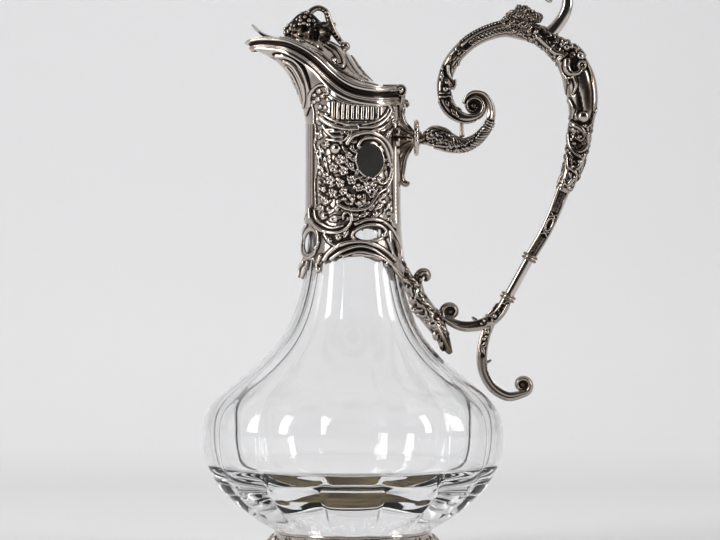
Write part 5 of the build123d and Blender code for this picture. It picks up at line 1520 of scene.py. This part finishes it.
def finial():
    """Bunch, its two leaves, the bent stem above and the curled tongue at the lip."""
    berry_cluster()
    for side, which in ((-1, "near"), (1, "far")):
        for name, x, out, z, size, axis_x, axis_y, nodes in (
            ("leaf_", -17.6, 6.6, 284.6, 5.8, (0.8, 0, -0.6), (0.3, side * 0.55, 0.9),
             ["vine_leaf_" + which]),
            ("leaf_mid_", -24.0, 7.6, 284.6, 4.8, (0.2, 0, -0.9), (0.9, side * 0.3, 0.3), []),
            ("leaf_low_", -29.6, 6.6, 285.2, 4.2, (0.9, 0, -0.2), (0.1, side * 0.7, 0.9), []),
            ("leaf_high_", -14.6, 5.4, 288.4, 3.8, (0.5, 0, 0.8), (0.9, side * 0.3, -0.4), []),
        ):
            vine_leaf(name + which, side, (x, side * out, z), size, axis_x, axis_y, *nodes)
    loop = [
        (-24.6, 294.2, 1.9, 1.9), (-22.4, 297.6, 1.8, 1.8), (-18.6, 299.2, 1.6, 1.7),
        (-14.8, 297.4, 1.6, 1.7), (-13.0, 292.8, 1.8, 1.8), (-11.2, 287.8, 1.9, 2.0),
        (-8.4, 283.2, 1.7, 1.9), (-5.6, 279.6, 1.5, 1.9),
    ]
    knots = [(-4.2, 0, 278.4, 2.7, 2.8, 2.7), (-10.4, 0, 290.2, 1.3, 1.6, 1.3)]
    cast_lump("stem_ball", knots, "lid", size=0.25, texture=0.1)
    limb_skin("bent_stem", loop, "vine_loop", stem_ornament, "lid")
    tongue = [(-38.8, 281.9, 0.6, 8.6), (-43.5, 282.9, 0.6, 7.6), (-48.5, 284.8, 0.6, 6.2),
              (-52.5, 288.0, 0.55, 4.6), (-54.8, 290.4, 0.45, 2.6)]
    limb_skin("lip_tongue", tongue, "lid_tongue", tongue_ornament, "lid", power=2.0, columns=80,
              material=SILVER)


def stem_ornament(r, length, half, at):
    """Knots along the stem."""
    toothed(r, 9.0, length, 2.2, 0.3, 0.9, 0.3)


def tongue_ornament(r, length, half, at):
    """Veined leaf with rolled edges."""
    v = np.abs(r.t) / half
    r.height += 0.35 * np.abs(np.sin(v * math.pi * 3.0)) * ease(v, 0.0, 0.3)


def hinge():
    """Two outer knuckles with bright pin ends, and the strap that holds them to the collar."""
    outline = smooth_line([(0.05, 10.5), (0.8, 10.3), (1.5, 9.7), (1.9, 9.0), (2.1, 8.6), (2.5, 8.8),
                           (3.0, 9.0), (3.3, 8.6)], 0.15)
    outline = np.vstack([outline, [(3.3, 7.4), (3.3, 6.4), (3.1, 5.7), (0.4, 5.6)]])
    radius, out = outline[:, 0, None], outline[:, 1, None]
    turn = full_turn(64)
    dark = np.interp(radius, [0, 1.7, 2.1, 2.6, 3.3], [0.05, 0.1, 1.0, 0.2, 0.1])
    tarnish_and_shade = np.concatenate([np.repeat(dark, len(turn)), [0.05, 0.5]])
    for name, side, nodes in (("knuckle_near", -1, ["hinge_pin", "hinge_bracket"]), ("knuckle_far", 1, [])):
        x, z = HINGE_X + radius * np.cos(turn), HINGE_Z + radius * np.sin(turn)
        points, faces = capped(np.stack([x, np.broadcast_to(side * out, x.shape), z], axis=2), flip=side < 0)
        dress(new_mesh(name, points, faces, tarnish_and_shade), SILVER, "jug", "silver", *nodes)
    strap = [(26.6, 252.6, 1.7, 8.8), (26.2, 249.0, 1.5, 8.2), (25.4, 245.6, 1.2, 6.6),
             (24.9, 242.6, 0.7, 4.0)]
    limb_skin("hinge_strap", strap, rails=0.3, channel=0.3, spacing=0.35, power=3.0, columns=70)


# ================================================================ sockets
def calyx_socket():
    """Gadrooned calyx that holds the handle's flange, between two scrolled arms."""
    outline = [(11.4, 23.0), (11.2, 24.8), (9.6, 25.6), (7.2, 27.2), (5.0, 29.4), (4.0, 31.6), (4.2, 32.6),
               (5.6, 33.2),
                     (7.6, 33.5), (8.9, 32.9), (9.7, 33.2), (9.7, 34.4), (8.6, 35.5), (6.0, 35.8),
               (3.6, 36.4), (2.4, 37.2)]
    turn = full_turn(120)
    radius, x = smooth_line(outline, 0.3).T[:, :, None]
    fluted = 1 - ease(x, 30.5, 32.5)
    wave = np.abs(np.sin(turn * 6))[None, :] ** 0.6
    lip = ease(x, 33.4, 34.2) * 0.25 * np.cos(turn * 24)[None, :]
    grown = radius + fluted * (0.9 * wave - 0.5) * np.minimum(radius / 6.0, 1.2) + lip
    rings = np.stack([x + 0 * grown, -grown * np.sin(turn), FLANGE_Z + grown * np.cos(turn)], axis=2)
    dark = np.clip(fluted * (1.0 - 1.15 * wave) + 0.08, 0, 1)
    obj = new_mesh("calyx", *capped(rings), np.concatenate([dark.ravel(), [0.5, 0.5]]))
    dress(obj, SILVER, "jug", "silver", "upper_handle_socket", "socket_pin")
    upper_arm = [(33.0, 230.6, 1.3, 2.0), (30.6, 233.2, 1.6, 2.2), (27.6, 237.0, 1.8, 2.6),
                 (26.3, 241.0, 1.8, 2.8), (26.4, 244.8, 1.9, 2.9)]
    upper_arm += spiral((28.2, 247.0), 1.9, 0.7, 200, -300, 1.5, 0.8, 2.9, 2.5)
    lower_arm = [(33.0, 227.4, 1.3, 2.0), (30.4, 223.4, 1.7, 2.3), (27.8, 218.4, 1.8, 2.6),
                 (26.6, 212.6, 1.8, 2.6), (26.3, 208.2, 1.7, 2.6), (27.0, 205.2, 1.8, 2.7),
                 (28.8, 204.4, 1.8, 2.7), (29.6, 206.0, 1.2, 2.4)]
    limb_skin("calyx_upper_arm", upper_arm, rails=0.3, channel=0.35, spacing=0.35)
    limb_skin("calyx_lower_arm", lower_arm, rails=0.3, channel=0.35, spacing=0.35)


def leaf_mount():
    """Acanthus casting seated on the flask, and the arm that rolls over in a knob above it."""
    body = [
        (27.8, 158.6, 2.4, 4.2), (29.4, 153.6, 3.5, 6.4), (32.2, 147.8, 4.5, 8.0), (35.6, 141.6, 5.3, 9.0),
        (39.2, 135.8, 5.7, 8.8), (43.0, 130.8, 5.6, 7.6), (46.2, 125.8, 4.9, 6.4), (48.8, 120.4, 3.9, 5.2),
        (51.0, 115.6, 2.8, 4.0), (53.0, 112.2, 1.5, 2.6),
    ]
    limb_skin("mount_leaf", body, "lower_handle_socket", mount_ornament, spacing=0.3, columns=60, depth=1.2)
    arm = [
        (50.6, 129.2, 2.0, 3.4), (46.0, 133.0, 2.4, 4.0), (41.2, 136.8, 2.5, 4.2), (37.4, 141.8, 2.4, 4.4),
        (35.6, 147.2, 2.2, 4.4), (34.8, 151.0, 2.2, 4.4), (35.4, 154.4, 2.1, 4.4), (37.2, 156.4, 1.9, 4.4),
        (39.3, 156.4, 1.7, 4.2), (40.3, 154.6, 1.5, 4.0), (39.4, 152.9, 1.2, 3.8), (38.2, 153.3, 0.9, 3.4),
    ]
    limb_skin("mount_arm", arm, None, mount_arm_ornament)


def mount_ornament(r, length, half, at):
    """A few long leaves with painted shade in the pockets between, under the cast foliage, and painted shade
    toward the tail's end.
    """
    r.height -= 0.3
    for k, s in enumerate((1.0, 8.5, 16.0, 24.0, 31.0, 37.5)):
        side = 1 if k % 2 else -1
        r.leaf((s, -0.1 * half * side), (s + 12.0, 0.5 * half * side), 3.2, 1.4, lobes=3, bend=-1.2 * side)
        # painted shade in the pockets between the leaves
        r.paint_shade(s + 7.0, -0.40 * half * side, 2.2, 0.6)
        r.paint_shade(s + 3.0, 0.55 * half * side, 1.8, 0.5)
    r.stroke([(length - 18, 0), (length - 2, 0)], 1.0, 1.6)
    # painted shade, darker toward the tail's end
    r.painted_shade = np.maximum(r.painted_shade, 0.35 * ease(r.s, length - 16, length - 8))


def mount_foliage():
    """Rounded lobes of the casting, in pairs beside its midrib."""
    balls = [
        (27.6, 4.0, 154.6, 1.8, 1.8, 3.2), (30.2, 5.6, 148.0, 2.2, 2.2, 3.4),
        (32.4, 7.4, 141.6, 2.4, 2.0, 3.2), (34.8, 7.6, 136.2, 3.6, 2.0, 2.4),
        (36.8, 8.0, 133.6, 3.0, 1.8, 2.0), (39.6, 7.0, 131.6, 3.0, 2.2, 2.0),
        (42.6, 6.6, 128.6, 2.6, 2.2, 2.6), (45.2, 5.4, 126.6, 2.8, 2.4, 2.0),
        (44.6, 5.0, 122.6, 1.8, 1.9, 2.8), (47.6, 4.0, 118.8, 1.6, 1.6, 2.6),
        (36.0, 6.0, 145.6, 1.7, 2.0, 4.2), (38.4, 6.6, 139.4, 2.0, 2.0, 3.4),
        (49.6, 3.0, 123.6, 1.5, 2.0, 2.8),
    ]
    cast_lump("mount_foliage", pairs(balls), "jug", size=0.28, texture=0.2, grain=1.8, floor=0.14)


def mount_arm_ornament(r, length, half, at):
    """Rails, a channel and teeth along the outer edge."""
    v = np.abs(r.t) / half
    r.height += 0.55 * ridge(v, 0.64, 0.13) - 0.7 * ridge(v, 0, 0.36)
    toothed(r, 3.0, 14.0, 1.8, 0.85 * half, 0.8, 0.5)
    draw(r, at, bosses=(((36.4, 152.6), 1.3, 1.5),))


# ================================================================ pierced apron
def apron_places(points):
    """Places seen from the front, (x, z), as (angle in mm on the collar, z) on the flaring skirt."""
    return [
        (COLLAR_RADIUS * math.asin(max(-1.0, min(1.0, x / (float(collar_radius(z)) + 0.6)))), z)
        for x, z in points
    ]


def apron():
    """Skirt pierced between its scrolls, cut along the edge of the ornament."""
    levels = np.linspace(APRON_FOOT - 0.6, COLLAR_FOOT + 0.6, 144)
    radius = collar_radius(levels)
    front, turn = round_front(radius, levels, spacing=0.39)
    s = np.repeat((turn * COLLAR_RADIUS)[None, :], len(levels), axis=0)
    chart = Relief(s, front[..., 2])
    lower_scrolls(chart, apron_places)
    x, z = front[..., 0], front[..., 2]
    edge = [(-33.0, 153.4), (-30.0, 156.4), (-27.4, 160.6), (-25.0, 162.6), (-20.8, 162.8), (-19.8, 157.2),
            (-18.0, 156.2), (-16.8, 160.6), (-14.6, 162.3), (-8.4, 164.0), (-2.2, 164.9), (4.0, 165.2),
            (10.2, 164.2), (16.0, 162.0), (17.6, 159.4), (19.0, 160.4), (23.2, 155.6), (26.0, 152.0),
            (34.0, 151.0)]
    solid = np.minimum(3.0, 0.8 * (z - np.interp(x, [p[0] for p in edge], [p[1] for p in edge])))
    for cx, cz, a, b, tilt in ((8.4, 177.0, 7.2, 3.3, 4), (-22.9, 172.4, 3.3, 6.2, -8),
                               (22.4, 169.6, 1.2, 5.0, 14)):
        u, v = turned(x - cx, z - cz, tilt)
        solid = np.minimum(solid, (np.hypot(u / a, v / b) - 1) * min(a, b))
    rim = 0.55 * ridge(solid, 0.8, 0.55)
    height = np.maximum(chart.height, rim * (solid < 2.9))
    keep = np.maximum(solid, (chart.height - 0.35) * 1.2)
    base = mirror_columns(front)
    normal = outward(base)
    keep, height = mirror_columns(keep), mirror_columns(height)
    across = (np.roll(keep, -1, axis=1) - np.roll(keep, 1, axis=1)) / 2
    up = np.gradient(keep, axis=0)
    size = across ** 2 + up ** 2 + 1e-9
    near = (np.abs(keep) < 0.6 * np.sqrt(size))
    du, dv = np.where(near, -keep * across / size, 0), np.where(near, -keep * up / size, 0)
    du, dv = np.clip(du, -0.6, 0.6), np.clip(dv, -0.6, 0.6)
    step_u = (np.roll(base, -1, axis=1) - np.roll(base, 1, axis=1)) / 2
    step_v = np.gradient(base, axis=0)
    base = base + du[..., None] * step_u + dv[..., None] * step_v
    rows, columns = keep.shape
    inside = (keep > 0) | near
    quads = grid_faces(rows, columns, wrap_columns=True)
    flat = inside.ravel()
    quads = quads[flat[quads].all(axis=1)]
    outer = base + normal * (0.35 + height)[..., None]
    inner = base - normal * 0.35
    edges = {}
    for q in quads:
        for i in range(4):
            a, b = int(q[i]), int(q[(i + 1) % 4])
            if (b, a) in edges:
                del edges[(b, a)]
            else:
                edges[(a, b)] = True
    shift = rows * columns
    faces = [list(q) for q in quads] + [list(q[::-1] + shift) for q in quads]
    faces += [[b, a, a + shift, b + shift] for a, b in edges]
    points = np.concatenate([outer.reshape(-1, 3), inner.reshape(-1, 3)])
    used = np.zeros(2 * shift, bool)
    for f in faces:
        used[f] = True
    index = np.cumsum(used) - 1
    faces = [[int(index[i]) for i in f] for f in faces]
    dark = patina_of(height, 1.0, True)
    tarnish_and_shade = np.concatenate([dark.ravel(), np.full(shift, 0.5)])[used]
    obj = new_mesh("pierced_apron", points[used], faces, tarnish_and_shade)
    dress(obj, SILVER, "jug", "silver", "apron")


# ================================================================ foot
FOOT_RIM_RADIUS = 51.5
FOOT_NECK_RADIUS = 42.0
FOOT_RIM_HEIGHT = 2.4
FOOT_LOBES = 10
FOOT_COLUMNS = 880


def foot_surface(levels, turn, drop=0.0):
    """Points of the foot's slope at the given levels and angles, drawn in by drop."""
    rise = ((levels - FOOT_RIM_HEIGHT) / (SEAT_LEVEL - FOOT_RIM_HEIGHT))[:, None]
    radius = FOOT_RIM_RADIUS - (FOOT_RIM_RADIUS - FOOT_NECK_RADIUS) * (0.62 * rise + 0.38 * rise ** 2)
    r = radius - drop
    if not drop:
        r = r - (0.3 + 1.3 * (1 - rise)) * (1 - np.abs(np.cos(FOOT_LOBES / 2 * turn)))
    r = r + 0 * turn
    return np.stack([r * np.sin(turn), -r * np.cos(turn), levels[:, None] + 0 * r], axis=2), radius[:, 0]


def foot():
    """Spreading foot of ten lobes, each with a shell between two scrolls, over a beaded wire."""
    levels = np.linspace(FOOT_RIM_HEIGHT, SEAT_LEVEL, 70)
    turn = full_turn(FOOT_COLUMNS, -math.pi / 2)
    base, radius = foot_surface(levels, turn)
    slant = np.concatenate([[0], np.cumsum(np.hypot(np.diff(levels), np.diff(radius)))])
    pitch = 2 * math.pi / FOOT_LOBES
    local = (np.mod(turn + pitch / 2, pitch) - pitch / 2) * 46.0
    chart = Relief(*np.meshgrid(local, slant))
    chart.shell(0.0, 4.0, 6.6, 10, 160, 1.2, ribs=7)
    for side in (-1, 1):
        scroll = [(1.0, 2.2), (5.0, 1.6), (8.6, 3.6), (9.6, 7.2), (7.6, 9.8), (5.8, 8.6)]
        strand = [(12.6, 1.8), (11.2, 5.0), (12.2, 9.6), (14.0, 12.6)]
        chart.stroke([(side * s, t) for s, t in scroll], 0.95, 1.3)
        chart.stroke([(side * s, t) for s, t in strand], 0.9, 1.2)
        chart.leaf((side * 9.0, 9.6), (side * 4.0, 14.2), 1.9, 1.1, lobes=3)
        chart.leaf((side * 10.6, 10.6), (side * 13.2, 15.4), 1.8, 1.1, lobes=3)
        chart.boss(side * 6.4, 8.2, 1.3, 1.4)
        chart.flower(side * 14.45, 5.2, 2.3, 1.3)
    chart.leaf((0, 10.0), (0, 15.6), 2.4, 1.3, lobes=3)
    chart.matt(0.07)
    ends = ease(slant, 0.0, 0.8) * ease(slant[-1] - slant, 0.0, 0.8)
    raised = base + outward(base) * ((chart.height - 0.3) * ends[:, None])[..., None]
    inner = foot_surface(np.linspace(SEAT_LEVEL - 0.4, FOOT_RIM_HEIGHT, 6), turn, drop=3.0)[0]
    points = np.concatenate([raised, inner], axis=0)
    tarnish_and_shade = np.concatenate([patina_of(chart.height, 1.0, True), np.full(inner.shape[:2], 0.4)])
    faces = grid_faces(len(points), FOOT_COLUMNS, wrap_columns=True, wrap_rows=True)
    dress(new_mesh("foot_skin", points.reshape(-1, 3), faces, tarnish_and_shade), SILVER, "jug", "silver", "foot_shell")


# ================================================================ stage, lights, camera
PAPER_HALF_WIDTH = 2500
PAPER_FRONT, PAPER_BEND, PAPER_TOP = -3.0, 1.0, 2.6  # in metres: front edge, start of the curve, upper edge
PAPER_CURVE = 0.5
CURVE_PARTS = 12


def backdrop():
    """Pale paper that runs along the table and curves up behind."""
    profile = [(PAPER_FRONT, 0.0), (PAPER_BEND, 0.0)]
    for i in range(1, CURVE_PARTS + 1):
        angle = math.radians(90 / CURVE_PARTS * i)
        profile.append((PAPER_BEND + PAPER_CURVE * math.sin(angle),
                        PAPER_CURVE - PAPER_CURVE * math.cos(angle)))
    profile.append((PAPER_BEND + PAPER_CURVE, PAPER_TOP))
    points = [(side * PAPER_HALF_WIDTH, y / MM, z / MM) for y, z in profile for side in (-1, 1)]
    obj = new_mesh("backdrop", points, grid_faces(len(profile), 2))
    material, tree, shader = new_material("paper")
    where = tree.nodes.new("ShaderNodeTexCoord")
    parts = tree.nodes.new("ShaderNodeSeparateXYZ")
    tree.links.new(where.outputs["Object"], parts.inputs["Vector"])
    # Paper coloured greyer on the table in front and paler up the curve behind: painted shade for the fall of
    # light across the sweep.
    cloud = calculate(tree, "MULTIPLY", noise_at(tree, 1.2), 0.03)
    away = calculate(tree, "ADD", calculate(tree, "MULTIPLY", parts.outputs["Y"], 0.5), cloud)
    colour = ramp(tree, away, [(0.28, (0.72, 0.72, 0.73)), (0.5, (0.88, 0.88, 0.89)),
                               (0.66, (0.93, 0.93, 0.94))])
    tree.links.new(colour, shader.inputs["Base Color"])
    shader.inputs["Roughness"].default_value = 0.9
    sides = tree.nodes.new("ShaderNodeNewGeometry")
    seen = calculate(tree, "SUBTRACT", 1.0, sides.outputs["Backfacing"])
    tree.links.new(seen, shader.inputs["Alpha"])
    use_material(obj, material)


def mix_colours(tree, factor, colour, other):
    """Socket that gives the colour where factor is 0 and a fixed other one where it is 1."""
    mix = tree.nodes.new("ShaderNodeMix")
    mix.data_type = "RGBA"
    first, second = [socket for socket in mix.inputs if socket.type == "RGBA"]
    tree.links.new(factor, mix.inputs["Factor"])
    tree.links.new(colour, first)
    second.default_value = (*other, 1)
    return next(socket for socket in mix.outputs if socket.type == "RGBA")


def area_light(name, place, target, size, power):
    """Rectangular lamp in metres and watts, aimed at a target."""
    data = bpy.data.lights.new(name, "AREA")
    data.shape = "RECTANGLE"
    data.size, data.size_y = size
    data.energy = power
    obj = add_object(name, data)
    obj.location = place
    obj.rotation_euler = (Vector(target) - Vector(place)).to_track_quat("-Z", "Y").to_euler()
    return obj


def lighting():
    """Tall soft windows to the left and right, a ceiling panel, and a room that is dark only in front."""
    area_light("window_left", (-1.3, -0.9, 0.75), (0, 0, 0.17), (0.5, 1.2), 14)
    area_light("window_right", (1.4, -0.55, 0.7), (0, 0, 0.17), (0.35, 1.0), 8)
    for soft in (
        area_light("ceiling", (0.0, -0.1, 1.5), (0, 0.0, 0.1), (1.0, 0.8), 5),
        area_light("paper_light", (-0.35, 0.4, 1.9), (-0.45, 1.6, 0.5), (2.2, 0.8), 12),
    ):
        soft.visible_glossy = False
        soft.visible_transmission = False
    world = bpy.data.worlds.new("studio")
    bpy.context.scene.world = world
    world.use_nodes = True
    tree = world.node_tree
    where = tree.nodes.new("ShaderNodeTexCoord")
    parts = tree.nodes.new("ShaderNodeSeparateXYZ")
    tree.links.new(where.outputs["Generated"], parts.inputs["Vector"])
    depth = calculate(tree, "ADD", calculate(tree, "MULTIPLY", parts.outputs["Y"], 0.5), 0.5)
    colour = ramp(tree, depth, [
        (0.0, (0.02, 0.02, 0.022)), (0.20, (0.035, 0.035, 0.038)),
        (0.36, (0.27, 0.262, 0.255)), (0.52, (0.58, 0.572, 0.565)),
    ])
    path = tree.nodes.new("ShaderNodeLightPath")
    colour = mix_colours(tree, path.outputs["Is Transmission Ray"], colour, (0.68, 0.68, 0.69))
    colour = mix_colours(tree, path.outputs["Is Camera Ray"], colour, (0.76, 0.76, 0.77))
    shade = tree.nodes["Background"]
    tree.links.new(colour, shade.inputs["Color"])
    shade.inputs["Strength"].default_value = 1.0


CAMERA_DISTANCE = 1.5
VIEW_HEIGHT = 0.2916
VIEW_MIDDLE = (0.0038, 0.1577)


def camera():
    """Level camera straight in front of the jug; its places are in metres."""
    data = bpy.data.cameras.new("camera")
    data.sensor_fit = "VERTICAL"
    data.angle = 2 * math.atan(VIEW_HEIGHT / 2 / CAMERA_DISTANCE)
    obj = add_object("camera", data)
    obj.location = (VIEW_MIDDLE[0], -CAMERA_DISTANCE, VIEW_MIDDLE[1])
    obj.rotation_euler = (math.pi / 2, 0, 0)
    bpy.context.scene.camera = obj
    bpy.context.scene.view_settings.view_transform = "Standard"


glass_flask()
neck_sleeve()
spout()
mouth_mouldings()
lid_dome()
finial()
handle()
lion_mask()
hinge()
calyx_socket()
leaf_mount()
mount_foliage()
apron()
foot()
for name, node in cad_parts.items():
    if name != "glass_flask":
        use_material(node, AMBER if name == "punt_plaster" else PLASTER if "plaster" in name else SILVER)
backdrop()
lighting()
camera()
